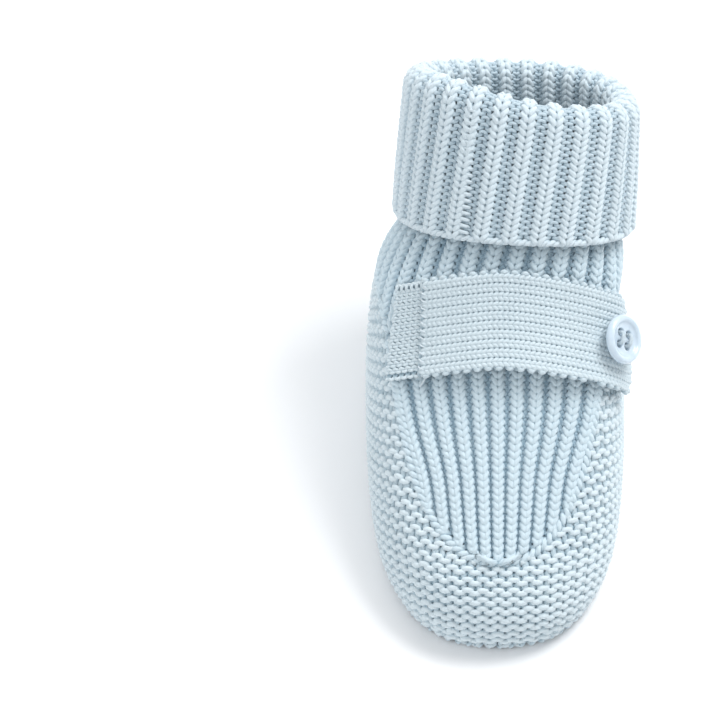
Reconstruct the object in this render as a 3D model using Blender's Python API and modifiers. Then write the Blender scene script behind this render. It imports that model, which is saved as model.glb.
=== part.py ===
"""Knitted baby bootie with a turned-down rib cuff and a buttoned instep strap.

The toe points to -Y, the button sits on the +X side, +Z is up and the sole rests on z = 0.
Every knitted piece is a plain closed solid here, with its real outline and its real openings.
"""

import math

import bmesh
import bpy
import numpy as np
from mathutils import Matrix, Vector
from mathutils.bvhtree import BVHTree

MM = 0.001

# ---- driving dimensions, in millimetres unless the name says otherwise
KNIT_THICK = 2.2
EDGE_GAP = 1.6
SOLE_THICK = 2.6
SOLE_INSET = 5.6
SOLE_SEAM_INSET = 4.6
WALL_FOOT_INSET = 3.0
WALL_FOOT_HEIGHT = 0.6
SEAM_RADIUS = 0.45
JOIN_RADIUS = 0.5

# Half outline of the foot at its widest level, from the toe to the heel (x, y).
OUTLINE = [
    (0.0, -50.5), (9.0, -49.2), (15.5, -45.4), (20.5, -39.2), (24.2, -30.5), (26.2, -20.5), (27.1, -9.5),
    (27.3, 1.5), (27.2, 12.0), (26.6, 23.0), (24.8, 33.5), (20.2, 42.0), (11.5, 48.0), (0.0, 50.0),
]
# Half of the seam line round the ribbed instep and the ankle, from the tip of the V to the heel (x, y, z).
SEAM = [
    (0.0, -38.8, 18.8), (5.0, -37.6, 18.9), (8.6, -35.2, 19.8), (12.6, -30.4, 21.8), (16.2, -23.2, 25.6),
    (19.0, -13.5, 31.0), (20.8, -5.0, 35.6), (22.4, 3.5, 38.6), (23.8, 12.0, 38.4), (24.2, 20.5, 36.0),
    (23.0, 29.0, 32.8), (18.3, 36.8, 30.2), (10.2, 41.4, 28.6), (0.0, 42.8, 28.0),
]
# Middle line of the instep, one point for each seam station up to the strap (y, z).
INSTEP_LINE = [
    (-38.8, 18.8), (-38.0, 19.3), (-35.8, 20.6), (-31.4, 23.2), (-24.6, 27.6), (-15.5, 33.6), (-7.2, 39.6),
    (0.5, 45.6),
]
INSTEP_STATIONS = len(INSTEP_LINE) - 1
INSTEP_CROWN = 2.2

# The leg is a straight tube inside the cuff, leaning back and a little to the button side.
HEM_CENTRE = Vector((3.6, 28.4, 44.0))
LEG_AXIS = Vector((0.056, 0.608, 0.792)).normalized()
LEG_RADIUS = 21.1
LEG_BULGE = 1.2
LEG_TOP = 24.2
CUFF_HEIGHT = 28.4
CUFF_HEM_RADIUS = 24.7
CUFF_TOP_RADIUS = 24.1
CUFF_INNER_RADIUS = 21.6
CUFF_LIP_RADIUS = 17.4
CUFF_STEPS = 40
BIND_OFF_HEIGHT = 1.8
CUFF_SEAM_ANGLE = math.radians(-28.0)

# The strap lies across the instep in its own frame: across, up the slope, and out of the slope.
STRAP_ORIGIN = Vector((0.0, 1.5, 46.0))
STRAP_UP = Vector((0.0, 0.73, 0.683)).normalized()
STRAP_OUT = Vector((0.0, -0.683, 0.73)).normalized()
STRAP_CORE_DEPTH = 24.0
STRAP_WIDTH = 18.8
STRAP_THICK = 2.0
STRAP_CLEAR = 0.8
STRAP_ARCH = 2.2
STRAP_GAP = 0.5
TAB_ANGLE = math.radians(-46.0)
ROOT_ANGLE = math.radians(-31.0)
SPLIT_ANGLE = math.radians(30.0)
BUTTON_ANGLE = math.radians(50.0)
TIP_ANGLE = math.radians(66.0)

BUTTON_RADIUS = 5.0
BUTTON_HOLE_RADIUS = 0.75
BUTTON_HOLE_PITCH = 2.4
THREAD_RADIUS = 0.42
SHANK_RADIUS = 0.8
SHANK_HEAD_RADIUS = 2.1
SLOT_LENGTH = 13.2
SLOT_WIDTH = 5.0
EDGING_RADIUS = 0.45


# ---- scene and small helpers
for old in list(bpy.data.objects):
    bpy.data.objects.remove(old)

bootie = bpy.data.collections.new("baby_bootie")
cutters = bpy.data.collections.new("cutters")
bpy.context.scene.collection.children.link(bootie)
bpy.context.scene.collection.children.link(cutters)
cutters.hide_render = True


def material(name, colour, roughness):
    """A plain surface colour for one piece."""
    made = bpy.data.materials.new(name)
    made.use_nodes = True
    shader = made.node_tree.nodes["Principled BSDF"]
    shader.inputs["Base Color"].default_value = (*colour, 1.0)
    shader.inputs["Roughness"].default_value = roughness
    shader.inputs["Metallic"].default_value = 0.0
    return made


def keep(obj, colour, roughness=0.9):
    """Put a finished piece in the bootie's collection, with its own material."""
    for holder in list(obj.users_collection):
        holder.objects.unlink(obj)
    bootie.objects.link(obj)
    obj.data.materials.clear()
    obj.data.materials.append(material(obj.name, colour, roughness))
    return obj


def as_cutter(obj):
    """Put a helper that only cuts in the cutters' collection."""
    for holder in list(obj.users_collection):
        holder.objects.unlink(obj)
    cutters.objects.link(obj)
    obj.hide_render = True
    obj.display_type = "WIRE"
    return obj


def mesh_object(name, points, faces):
    """A mesh from points in millimetres, with its faces turned outward where it is closed."""
    mesh = bpy.data.meshes.new(name)
    mesh.from_pydata([Vector(p) * MM for p in points], [], faces)
    obj = bpy.data.objects.new(name, mesh)
    bpy.context.scene.collection.objects.link(obj)
    return obj


def tidy_mesh(obj, smooth=True):
    """Weld, turn the faces out and set the shading."""
    work = bmesh.new()
    work.from_mesh(obj.data)
    bmesh.ops.remove_doubles(work, verts=work.verts, dist=1e-6)
    bmesh.ops.recalc_face_normals(work, faces=work.faces)
    work.to_mesh(obj.data)
    work.free()
    for face in obj.data.polygons:
        face.use_smooth = smooth
    return obj


def grid_faces(rows, columns, wrap):
    """Quads of a grid of rows x columns, joined round in the column direction if wrap is set."""
    faces = []
    for r in range(rows - 1):
        for c in range(columns if wrap else columns - 1):
            d = (c + 1) % columns
            faces.append((r * columns + c, r * columns + d, (r + 1) * columns + d, (r + 1) * columns + c))
    return faces


def slab_from_grid(name, grid, wrap, thick, inside):
    """A knitted sheet: the outer surface as a grid of points, given its thickness toward an inside point."""
    rows, columns = len(grid), len(grid[0])
    obj = mesh_object(name, [p for row in grid for p in row], grid_faces(rows, columns, wrap))
    outward = sum(face.normal.dot(face.center - Vector(inside) * MM) for face in obj.data.polygons)
    if outward < 0:
        obj.data.flip_normals()
    solid = obj.modifiers.new("thickness", "SOLIDIFY")
    solid.thickness = thick * MM
    solid.offset = -1.0
    for face in obj.data.polygons:
        face.use_smooth = True
    return obj


def tube(name, points, radius, closed=False, resolution=1):
    """A round strand along points in millimetres, turned into a closed mesh."""
    curve = bpy.data.curves.new(name, "CURVE")
    curve.dimensions = "3D"
    curve.bevel_depth = radius * MM
    curve.bevel_resolution = resolution
    curve.use_fill_caps = not closed
    line = curve.splines.new("POLY")
    line.points.add(len(points) - 1)
    for spot, point in zip(line.points, points):
        spot.co = (*(Vector(point) * MM), 1.0)
    line.use_cyclic_u = closed
    holder = bpy.data.objects.new(name + "_line", curve)
    bpy.context.scene.collection.objects.link(holder)
    bpy.context.view_layer.update()
    mesh = bpy.data.meshes.new_from_object(holder.evaluated_get(bpy.context.evaluated_depsgraph_get()))
    bpy.data.objects.remove(holder)
    obj = bpy.data.objects.new(name, mesh)
    bpy.context.scene.collection.objects.link(obj)
    return tidy_mesh(obj)


def turned(name, profile, steps):
    """A piece turned about its own Z from a closed profile of (radius, height)."""
    points = [(r, 0.0, z) for r, z in profile]
    mesh = bpy.data.meshes.new(name)
    count = len(points)
    mesh.from_pydata([Vector(p) * MM for p in points], [(i, (i + 1) % count) for i in range(count)], [])
    obj = bpy.data.objects.new(name, mesh)
    bpy.context.scene.collection.objects.link(obj)
    screw = obj.modifiers.new("turn", "SCREW")
    screw.axis = "Z"
    screw.steps = steps
    screw.render_steps = steps
    screw.use_merge_vertices = True
    screw.merge_threshold = 0.00001
    screw.use_smooth_shade = True
    return obj


def applied(obj):
    """The piece with its modifiers made part of its mesh."""
    bpy.context.view_layer.update()
    mesh = bpy.data.meshes.new_from_object(obj.evaluated_get(bpy.context.evaluated_depsgraph_get()))
    obj.modifiers.clear()
    obj.data = mesh
    return obj


def boolean(obj, other, operation):
    """Cut or join another mesh with the exact solver, and make the result part of the piece."""
    step = obj.modifiers.new(operation.lower(), "BOOLEAN")
    step.solver = "EXACT"
    step.operation = operation
    step.object = other
    applied(obj)
    return obj


# ---- curves through stations
def spline(stations, at):
    """A smooth curve through stations (open ends), read at a station number that may be a fraction."""
    last = len(stations) - 1
    i = min(max(int(math.floor(at)), 0), last - 1)
    t = at - i
    before = np.array(stations[max(i - 1, 0)], float)
    start = np.array(stations[i], float)
    end = np.array(stations[i + 1], float)
    after = np.array(stations[min(i + 2, last)], float)
    return 0.5 * (
        2 * start + (end - before) * t + (2 * before - 5 * start + 4 * end - after) * t**2
        + (3 * start - before - 3 * end + after) * t**3
    )


def loop_of(half):
    """All stations of a closed loop from its +X half, which starts and ends on the middle line."""
    return half + [(-p[0], *p[1:]) for p in half[-2:0:-1]]


def round_loop(half, at):
    """A point of the closed loop at a station number; negative numbers run up the -X side."""
    whole = loop_of(half)
    size = len(whole)
    i = int(math.floor(at))
    around = [whole[(i + k) % size] for k in (-1, 0, 1, 2)]
    return spline(around, 1 + at - i)


def outline_normal(at):
    """Outward direction of the foot's outline in plan."""
    ahead = round_loop(OUTLINE, at + 0.05) - round_loop(OUTLINE, at - 0.05)
    normal = np.array([ahead[1], -ahead[0]])
    return normal / np.linalg.norm(normal)


def outline_inset(at, inset, height):
    """A point inside the foot's outline by the inset, at a height."""
    spot = round_loop(OUTLINE, at) - outline_normal(at) * inset
    return Vector((spot[0], spot[1], height))


# ---- outer surfaces of the foot and the leg
def wall_profile(at):
    """Four control points of the wall's section, from the sole's edge up to the seam."""
    top = Vector(round_loop(SEAM, at))
    foot = outline_inset(at, WALL_FOOT_INSET, WALL_FOOT_HEIGHT)
    low = outline_inset(at, -1.2, 5.0)
    high = outline_inset(at, 0.4, top.z * 0.86)
    high = high.lerp(Vector((top.x, top.y, high.z)), 0.12)
    return foot, low, high, top


def wall_point(at, v):
    """A point of the wall's outer surface, v from 0 at the sole to 1 at the seam."""
    a, b, c, d = wall_profile(at)
    return a * (1 - v) ** 3 + b * 3 * v * (1 - v) ** 2 + c * 3 * v**2 * (1 - v) + d * v**3


def instep_point(at, q):
    """A point of the instep's outer surface, q from -1 to 1 across it."""
    edge = Vector(round_loop(SEAM, at))
    y, z = spline(INSTEP_LINE, at)
    share = abs(q) ** INSTEP_CROWN
    return Vector((edge.x * q, y + (edge.y - y) * share, z + (edge.z - z) * share))


def leg_frame():
    """Directions across the leg: to the side and to the front."""
    front = -(Vector((0, 1, 0)) - LEG_AXIS * LEG_AXIS.y).normalized()
    return front.cross(LEG_AXIS).normalized() * -1.0, front


LEG_SIDE, LEG_FRONT = leg_frame()
if LEG_SIDE.x < 0:
    LEG_SIDE = -LEG_SIDE


def leg_ring(height, radius, angle):
    """A point on the straight part of the leg; angle 0 is the front, positive to +X."""
    centre = HEM_CENTRE + LEG_AXIS * height
    return centre + LEG_SIDE * (radius * math.sin(angle)) + LEG_FRONT * (radius * math.cos(angle))


def ankle_line():
    """The closed line where the ribbed leg starts: over the instep, then round the heel."""
    over = [instep_point(INSTEP_STATIONS, q) for q in np.linspace(0, 1, 13)]
    stations = np.arange(INSTEP_STATIONS + 0.25, len(SEAM) - 1 + 0.01, 0.25)
    around = [Vector(round_loop(SEAM, at)) for at in stations]
    right = over + around
    return right + [Vector((-p.x, p.y, p.z)) for p in right[-2:0:-1]]


ANKLE = ankle_line()
ANKLE_MIDDLE = (sum(p.x for p in ANKLE) / len(ANKLE), 22.5)


def ankle_point(angle):
    """The ankle line seen from its middle in plan, at an angle from the front."""
    angles = [math.atan2(p.x, -(p.y - ANKLE_MIDDLE[1])) for p in ANKLE]
    order = np.argsort(angles)
    sorted_angles = np.array(angles)[order]
    coords = np.array([tuple(ANKLE[i]) for i in order])
    wrapped = np.concatenate([sorted_angles - 2 * math.pi, sorted_angles, sorted_angles + 2 * math.pi])
    tripled = np.concatenate([coords, coords, coords])
    wanted = (angle + math.pi) % (2 * math.pi) - math.pi
    return Vector([np.interp(wanted, wrapped, tripled[:, k]) for k in range(3)])


def leg_point(angle, t):
    """A point of the leg below the hem, t from 0 at the ankle line to 1 at the hem."""
    low = ankle_point(angle)
    high = leg_ring(0.0, LEG_RADIUS, angle)
    out = LEG_SIDE * math.sin(angle) + LEG_FRONT * math.cos(angle)
    return low.lerp(high, t) + out * (LEG_BULGE * 4 * t * (1 - t))


# ---- foot wall, sole, instep and leg
WALL_COLUMNS = 52
WALL_ROWS = 9


def wall_grid(gap, columns=WALL_COLUMNS, rows=WALL_ROWS):
    """Rows from the sole to the seam, stopping short of it by the gap."""
    stations = np.arange(columns) * (2 * (len(OUTLINE) - 1)) / columns
    reach = []
    for at in stations:
        near_top = (wall_point(at, 1.0) - wall_point(at, 0.9)).length
        reach.append(1.0 - 0.1 * gap / near_top)
    return [[wall_point(at, v * end) for at, end in zip(stations, reach)] for v in np.linspace(0, 1, rows)]


keep(slab_from_grid("garter_foot_wall", wall_grid(EDGE_GAP), True, KNIT_THICK, (0, 0, 12)), (0.70, 0.80, 0.86))

sole_points = [outline_inset(at, SOLE_INSET, 0.0) for at in np.arange(WALL_COLUMNS) * 0.5]
sole_count = len(sole_points)
sole = mesh_object(
    "garter_sole",
    sole_points + [p + Vector((0, 0, SOLE_THICK)) for p in sole_points],
    [list(range(sole_count))[::-1], list(range(sole_count, 2 * sole_count))]
    + [(i, (i + 1) % sole_count, sole_count + (i + 1) % sole_count, sole_count + i) for i in range(sole_count)],
)
keep(tidy_mesh(sole, smooth=False), (0.68, 0.78, 0.84))

keep(
    tube(
        "sole_seam",
        [outline_inset(at, SOLE_SEAM_INSET, 0.85) for at in np.arange(WALL_COLUMNS) * 0.5],
        SEAM_RADIUS,
        closed=True,
    ),
    (0.62, 0.73, 0.80),
)

instep_rows = []
for station in np.linspace(1.15, INSTEP_STATIONS, 13):
    half_width = abs(round_loop(SEAM, station)[0])
    trim = 1.0 - EDGE_GAP / half_width
    row = [instep_point(station, q * trim) for q in np.linspace(-1, 1, 13)]
    instep_rows.append(row)
keep(slab_from_grid("instep_rib_panel", instep_rows, False, KNIT_THICK, (0, -5, 5)), (0.74, 0.83, 0.88))

LEG_COLUMNS = 40
leg_angles = [2 * math.pi * k / LEG_COLUMNS for k in range(LEG_COLUMNS)]


def leg_start(angle):
    """How far up the leg its lower edge starts, so that it clears the seam."""
    return min(EDGE_GAP / (leg_point(angle, 1.0) - leg_point(angle, 0.0)).length, 0.6)


leg_rows = [
    [leg_point(angle, leg_start(angle) + (1 - leg_start(angle)) * t) for angle in leg_angles]
    for t in (0.0, 0.3, 0.65, 1.0)
]
leg_rows += [[leg_ring(h, LEG_RADIUS, angle) for angle in leg_angles] for h in (LEG_TOP / 2, LEG_TOP)]
keep(slab_from_grid("leg_rib_tube", leg_rows, True, KNIT_THICK, HEM_CENTRE), (0.74, 0.83, 0.88))


def seam_line(first, last, step=0.25):
    """The seam's centre, half a thickness inside the outer surface."""
    line = []
    for at in np.arange(first, last + 0.01, step):
        along = Vector(round_loop(SEAM, at + 0.05)) - Vector(round_loop(SEAM, at - 0.05))
        rising = wall_point(at, 1.0) - wall_point(at, 0.94)
        out = along.cross(rising).normalized()
        top = Vector(round_loop(SEAM, at))
        inside = Vector((0.0, 5.0, 12.0)) - top
        if out.dot(inside) > 0:
            out = -out
        line.append(top - out * (KNIT_THICK / 2))
    return line


instep_reach = INSTEP_STATIONS - 0.25
keep(tube("instep_seam", seam_line(-instep_reach, instep_reach), JOIN_RADIUS), (0.60, 0.72, 0.80))
heel_station = len(SEAM) - 1
ankle_first = INSTEP_STATIONS + 0.25
keep(tube("ankle_seam", seam_line(ankle_first, 2 * heel_station - ankle_first), JOIN_RADIUS), (0.60, 0.72, 0.80))


# ---- turned-down cuff
def along_leg(obj, height):
    """Stand a turned piece on the leg's axis at a height above the hem."""
    turn = Matrix((LEG_SIDE, -LEG_FRONT, LEG_AXIS)).transposed()
    obj.matrix_world = Matrix.Translation((HEM_CENTRE + LEG_AXIS * height) * MM) @ turn.to_4x4()
    return obj


def roll(middle, radius_out, radius_up, height, steps):
    """The rounded fold at the top of the cuff, from its outside to its inside."""
    return [
        (middle + radius_out * math.cos(a), height + radius_up * math.sin(a))
        for a in np.linspace(0, math.pi, steps)
    ]


cuff_foot = BIND_OFF_HEIGHT + 0.4
fold_middle = (CUFF_TOP_RADIUS + CUFF_LIP_RADIUS) / 2
fold_half = (CUFF_TOP_RADIUS - CUFF_LIP_RADIUS) / 2
leg_middle = LEG_RADIUS - KNIT_THICK / 2
cuff_profile = [(CUFF_HEM_RADIUS, cuff_foot), (CUFF_HEM_RADIUS - 0.2, 10.0)]
cuff_profile += roll(fold_middle, fold_half, 3.4, CUFF_HEIGHT - 3.4, 9)
cuff_profile += [(CUFF_LIP_RADIUS, LEG_TOP - 2.0), (leg_middle - 1.6, LEG_TOP - 2.0)]
cuff_profile += roll(leg_middle, 1.6, 1.1, LEG_TOP + 0.3, 5)[::-1]
cuff_profile += [(CUFF_INNER_RADIUS, LEG_TOP - 0.2), (CUFF_INNER_RADIUS, cuff_foot)]
cuff = applied(turned("turned_cuff", cuff_profile, CUFF_STEPS))
keep(along_leg(tidy_mesh(cuff), 0.0), (0.76, 0.85, 0.90))

bind_profile = [
    (CUFF_HEM_RADIUS - 1.0, 0.0), (CUFF_HEM_RADIUS - 0.1, 0.5), (CUFF_HEM_RADIUS - 0.1, 1.3),
    (CUFF_HEM_RADIUS - 0.7, BIND_OFF_HEIGHT), (CUFF_INNER_RADIUS + 0.7, BIND_OFF_HEIGHT),
    (CUFF_INNER_RADIUS + 0.1, 1.3), (CUFF_INNER_RADIUS + 0.1, 0.5), (CUFF_INNER_RADIUS + 0.8, 0.0),
]
bind_off = applied(turned("cuff_bind_off_edge", bind_profile, CUFF_STEPS))
keep(along_leg(tidy_mesh(bind_off), 0.0), (0.78, 0.86, 0.91))

cuff_seam_line = [
    leg_ring(h, CUFF_HEM_RADIUS + 0.85 - 0.02 * h, CUFF_SEAM_ANGLE) for h in np.linspace(cuff_foot + 0.6, 23.0, 8)
]
keep(tube("cuff_seam", cuff_seam_line, 0.5), (0.70, 0.80, 0.86))


# ---- the strap, laid over the foot's own surface
def body_skin():
    """The foot's and leg's outer surface without gaps, for laying the strap on it."""
    points, faces = [], []
    instep_grid = [[instep_point(s, q) for q in np.linspace(-1, 1, 21)] for s in np.linspace(0.2, INSTEP_STATIONS, 21)]
    leg_grid = [[leg_point(a, t) for a in np.linspace(0, 2 * math.pi, 81)[:-1]] for t in np.linspace(0, 1, 9)]
    sheets = [
        (wall_grid(0.0, 104, 13), True),
        (instep_grid, False),
        (leg_grid, True),
    ]
    for grid, wrap in sheets:
        start = len(points)
        points += [p for row in grid for p in row]
        faces += [tuple(start + i for i in face) for face in grid_faces(len(grid), len(grid[0]), wrap)]
    return BVHTree.FromPolygons(points, faces)


SKIN = body_skin()


def strap_shift(angle):
    """How far the strap's middle line lies below its highest place, along the slope."""
    left = -3.4 * min(max(-angle / abs(TAB_ANGLE), 0.0), 1.0) ** 1.3
    right = -5.0 * min(max(angle / BUTTON_ANGLE, 0.0), 1.2) ** 1.6
    return left + right - 0.3


def strap_lift(angle, across):
    """Clearance over the foot: close at both ends, arched in the middle and most at the lower edge."""
    share = (angle - ROOT_ANGLE) / (BUTTON_ANGLE - ROOT_ANGLE)
    arch = math.sin(math.pi * min(max(share, 0.0), 1.0)) ** 0.8 if 0 < share < 1 else 0.0
    return STRAP_CLEAR + STRAP_ARCH * arch * (0.55 - 0.75 * across / STRAP_WIDTH)


def strap_spot(angle, across, height):
    """A point over the strap's inner face: angle round the foot, place across the strap, height outward."""
    up = strap_shift(angle) + across
    core = STRAP_ORIGIN + STRAP_UP * up - STRAP_OUT * STRAP_CORE_DEPTH
    way = Vector((math.sin(angle), 0, 0)) + STRAP_OUT * math.cos(angle)
    hit = SKIN.ray_cast(core, way)[0]
    return hit + way * (strap_lift(angle, across) + height)


def strap_direction(angle):
    """Direction along the strap at its middle line, over the button's width."""
    return (strap_spot(angle + 0.12, 0, 0) - strap_spot(angle - 0.12, 0, 0)).normalized()


def strap_piece(name, first, last, steps, width=STRAP_WIDTH, round_end=0.0):
    """A length of the strap between two angles, with its outer face and thickness."""
    rows = []
    for angle in np.linspace(first, last, steps):
        half = width / 2
        if round_end:
            reach = (last - angle) / (last - first) * (steps - 1)
            half -= round_end * max(0.0, 1.0 - reach) ** 2
        rows.append([strap_spot(angle, across, STRAP_THICK) for across in np.linspace(-half, half, 7)])
    return slab_from_grid(name, rows, False, STRAP_THICK, (0, 15, 20))


def gap_angle(angle, gap):
    """The angle that lies a gap further along the strap."""
    reach = (strap_spot(angle + 0.01, 0, STRAP_THICK) - strap_spot(angle - 0.01, 0, STRAP_THICK)).length / 0.02
    return angle + gap / reach


keep(
    strap_piece("strap_tab", TAB_ANGLE, gap_angle(ROOT_ANGLE, -STRAP_GAP / 2), 5, STRAP_WIDTH - 2.4),
    (0.72, 0.82, 0.88),
)
keep(
    strap_piece("strap_band", gap_angle(ROOT_ANGLE, STRAP_GAP / 2), gap_angle(SPLIT_ANGLE, -0.2), 13),
    (0.78, 0.86, 0.91),
)
strap_end = strap_piece("strap_end", gap_angle(SPLIT_ANGLE, 0.2), TIP_ANGLE, 9, STRAP_WIDTH, 2.5)
keep(strap_end, (0.78, 0.86, 0.91))

button_spot = strap_spot(BUTTON_ANGLE, 0.0, 0.0)
button_along = strap_direction(BUTTON_ANGLE)
button_up = (strap_spot(BUTTON_ANGLE, 4.0, 0) - strap_spot(BUTTON_ANGLE, -4.0, 0)).normalized()
button_up = (button_up - button_along * button_up.dot(button_along)).normalized()
button_out = button_up.cross(button_along)
if button_out.x < 0:
    button_out = -button_out


def on_button(x, y, z):
    """A point in the button's frame: along the strap, up the slope, and out of the foot."""
    return button_spot + button_along * x + button_up * y + button_out * z


def button_matrix(height):
    """The button's frame, raised off the foot."""
    turn = Matrix((button_along, button_up, button_out)).transposed()
    if turn.determinant() < 0:
        turn = Matrix((button_along, -button_up, button_out)).transposed()
    return Matrix.Translation(on_button(0, 0, height) * MM) @ turn.to_4x4()


def stadium(length, width, steps):
    """A slot's outline: straight sides and round ends, in the button's frame."""
    radius = width / 2
    straight = length / 2 - radius
    turn = np.linspace(-math.pi / 2, math.pi / 2, steps)
    right = [(straight + radius * math.cos(a), radius * math.sin(a)) for a in turn]
    left = [(-x, -y) for x, y in right]
    return right + left


SLOT_SHIFT = -(SLOT_LENGTH / 2 - SLOT_WIDTH / 2) + 0.6
slot_shape = [(x + SLOT_SHIFT, y) for x, y in stadium(SLOT_LENGTH, SLOT_WIDTH, 7)]
slot_count = len(slot_shape)
slot_cutter = mesh_object(
    "slot_cutter",
    [on_button(x, y, -6.0) for x, y in slot_shape] + [on_button(x, y, 10.0) for x, y in slot_shape],
    [list(range(slot_count)), list(range(slot_count, 2 * slot_count))[::-1]]
    + [(i, slot_count + i, slot_count + (i + 1) % slot_count, (i + 1) % slot_count) for i in range(slot_count)],
)
as_cutter(tidy_mesh(slot_cutter, smooth=False))
boolean(applied(strap_end), slot_cutter, "DIFFERENCE")


def strap_height_over(x, y, level=STRAP_THICK / 2):
    """Height of the strap over the button's base plane, at a place in its frame and a level in its thickness."""
    best = None
    for angle in np.linspace(SPLIT_ANGLE - 0.1, TIP_ANGLE, 60):
        spot = strap_spot(angle, y, level) - button_spot
        near = abs(spot.dot(button_along) - x)
        if best is None or near < best[0]:
            best = (near, spot.dot(button_out))
    return best[1]


edging_line = []
for x, y in stadium(SLOT_LENGTH - 1.5, SLOT_WIDTH - 1.5, 6):
    edging_line.append(on_button(x + SLOT_SHIFT, y, strap_height_over(x + SLOT_SHIFT, y)))
keep(tube("buttonhole_edging", edging_line, EDGING_RADIUS, closed=True), (0.70, 0.80, 0.87))

# ---- the stitches along the strap's root, one row of short threads joined by a running thread
root_line = []
for step, across in enumerate(np.linspace(-STRAP_WIDTH / 2 + 1.6, STRAP_WIDTH / 2 - 1.6, 15)):
    weave = 0.16 if step % 2 else 0.0
    root_line.append(strap_spot(gap_angle(ROOT_ANGLE, -2.2), across, STRAP_THICK + 0.62 + weave))
keep(tube("strap_root_stitching", root_line, 0.25), (0.80, 0.87, 0.90))

# ---- the button and its thread
rim = BUTTON_RADIUS
button_profile = [
    (0.0, 1.35), (2.7, 1.35), (3.3, 1.55), (3.7, 1.95), (4.1, 2.15), (4.5, 2.1), (4.85, 1.75), (rim, 1.25),
    (4.9, 0.75), (4.4, 0.3), (3.6, 0.05), (0.0, 0.0),
]
strap_end_points = [v.co / MM for v in strap_end.data.vertices]
strap_tree = BVHTree.FromPolygons(strap_end_points, [list(p.vertices) for p in strap_end.data.polygons])
under_button = []
for reach in (2.8, 3.8, 4.6, 5.1):
    for a in np.linspace(0, 2 * math.pi, 25):
        spot = on_button(reach * math.cos(a), reach * math.sin(a), 15.0)
        hit = strap_tree.ray_cast(spot, -button_out)[0]
        if hit is not None:
            under_button.append((hit - button_spot).dot(button_out) - 0.25 * max(reach - 3.6, 0.0))
BUTTON_BASE = max(under_button) + 0.45
button = applied(turned("button", button_profile, 36))
tidy_mesh(button)
for sign_x in (-1, 1):
    for sign_y in (-1, 1):
        bpy.ops.mesh.primitive_cylinder_add(vertices=16, radius=BUTTON_HOLE_RADIUS * MM, depth=8 * MM)
        drill = bpy.context.object
        drill.name = "button_drill"
        half_pitch = BUTTON_HOLE_PITCH / 2 * MM
        drill.location = (sign_x * half_pitch, sign_y * half_pitch, 0)
        as_cutter(drill)
        boolean(button, drill, "DIFFERENCE")
button.matrix_world = button_matrix(BUTTON_BASE)
keep(button, (0.66, 0.73, 0.86), 0.22)

half_pitch = BUTTON_HOLE_PITCH / 2
shank_low = 0.35 - STRAP_CLEAR
shank_head = BUTTON_BASE - 0.35
shank_profile = [
    (0.0, shank_low), (SHANK_RADIUS, shank_low), (SHANK_RADIUS, shank_head - 0.9),
    (SHANK_HEAD_RADIUS, shank_head - 0.6), (SHANK_HEAD_RADIUS, shank_head), (0.0, shank_head),
]
shank = tidy_mesh(applied(turned("button_thread", shank_profile, 16)))
for sign_x in (-1, 1):
    top = BUTTON_BASE + 1.35 + 0.35 + THREAD_RADIUS
    low = shank_head - 0.4
    loop_points = [
        (sign_x * half_pitch * 0.98, -half_pitch, low), (sign_x * half_pitch, -half_pitch, top - 0.5),
        (sign_x * half_pitch, -half_pitch + 0.25, top - 0.08), (sign_x * half_pitch, -half_pitch + 0.6, top),
        (sign_x * half_pitch, half_pitch - 0.6, top), (sign_x * half_pitch, half_pitch - 0.25, top - 0.08),
        (sign_x * half_pitch, half_pitch, top - 0.5), (sign_x * half_pitch * 0.98, half_pitch, low),
    ]
    stitch = as_cutter(tube("stitch", loop_points, THREAD_RADIUS, resolution=1))
    boolean(shank, stitch, "UNION")
shank.matrix_world = button_matrix(0.0)
keep(tidy_mesh(shank), (0.80, 0.84, 0.88))


# ---- moving groups: each has an empty on its joint's axis
def moving_group(name, place, nodes):
    """An empty that carries the pieces of one moving body."""
    anchor = bpy.data.objects.new(name, None)
    anchor.empty_display_size = 0.01
    anchor.location = place * MM
    bootie.objects.link(anchor)
    bpy.context.view_layer.update()
    for node in nodes:
        piece = bpy.data.objects[node]
        piece.parent = anchor
        piece.matrix_parent_inverse = anchor.matrix_world.inverted()


root_low = strap_spot(ROOT_ANGLE, -STRAP_WIDTH / 2, STRAP_THICK)
root_high = strap_spot(ROOT_ANGLE, STRAP_WIDTH / 2, STRAP_THICK)
moving_group("strap_hinge", (root_low + root_high) / 2, ("strap_band", "strap_end", "buttonhole_edging"))
moving_group("cuff_slide", HEM_CENTRE, ("turned_cuff", "cuff_bind_off_edge", "cuff_seam"))
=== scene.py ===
"""The knitted baby bootie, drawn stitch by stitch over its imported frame.

Lengths are in millimetres until a mesh is made. The toe points to -Y, the button is on +X, and the floor
is at z = 0.
"""

import math

import bpy
import numpy as np
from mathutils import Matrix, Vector
from mathutils.bvhtree import BVHTree


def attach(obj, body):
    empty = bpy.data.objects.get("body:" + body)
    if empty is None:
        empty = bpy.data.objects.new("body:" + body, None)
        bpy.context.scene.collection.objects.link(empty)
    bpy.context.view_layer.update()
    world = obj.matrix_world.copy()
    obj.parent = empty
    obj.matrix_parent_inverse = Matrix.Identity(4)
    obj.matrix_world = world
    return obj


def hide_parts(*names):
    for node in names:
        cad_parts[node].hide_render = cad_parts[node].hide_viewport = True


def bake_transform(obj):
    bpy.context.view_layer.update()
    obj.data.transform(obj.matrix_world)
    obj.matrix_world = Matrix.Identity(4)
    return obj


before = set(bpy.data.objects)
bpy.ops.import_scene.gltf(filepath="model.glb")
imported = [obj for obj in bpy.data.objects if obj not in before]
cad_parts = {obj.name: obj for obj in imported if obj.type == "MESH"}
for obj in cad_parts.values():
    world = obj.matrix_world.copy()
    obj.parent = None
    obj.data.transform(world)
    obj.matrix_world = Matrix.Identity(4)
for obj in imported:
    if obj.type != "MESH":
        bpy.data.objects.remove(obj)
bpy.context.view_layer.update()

MM = 0.001


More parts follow.
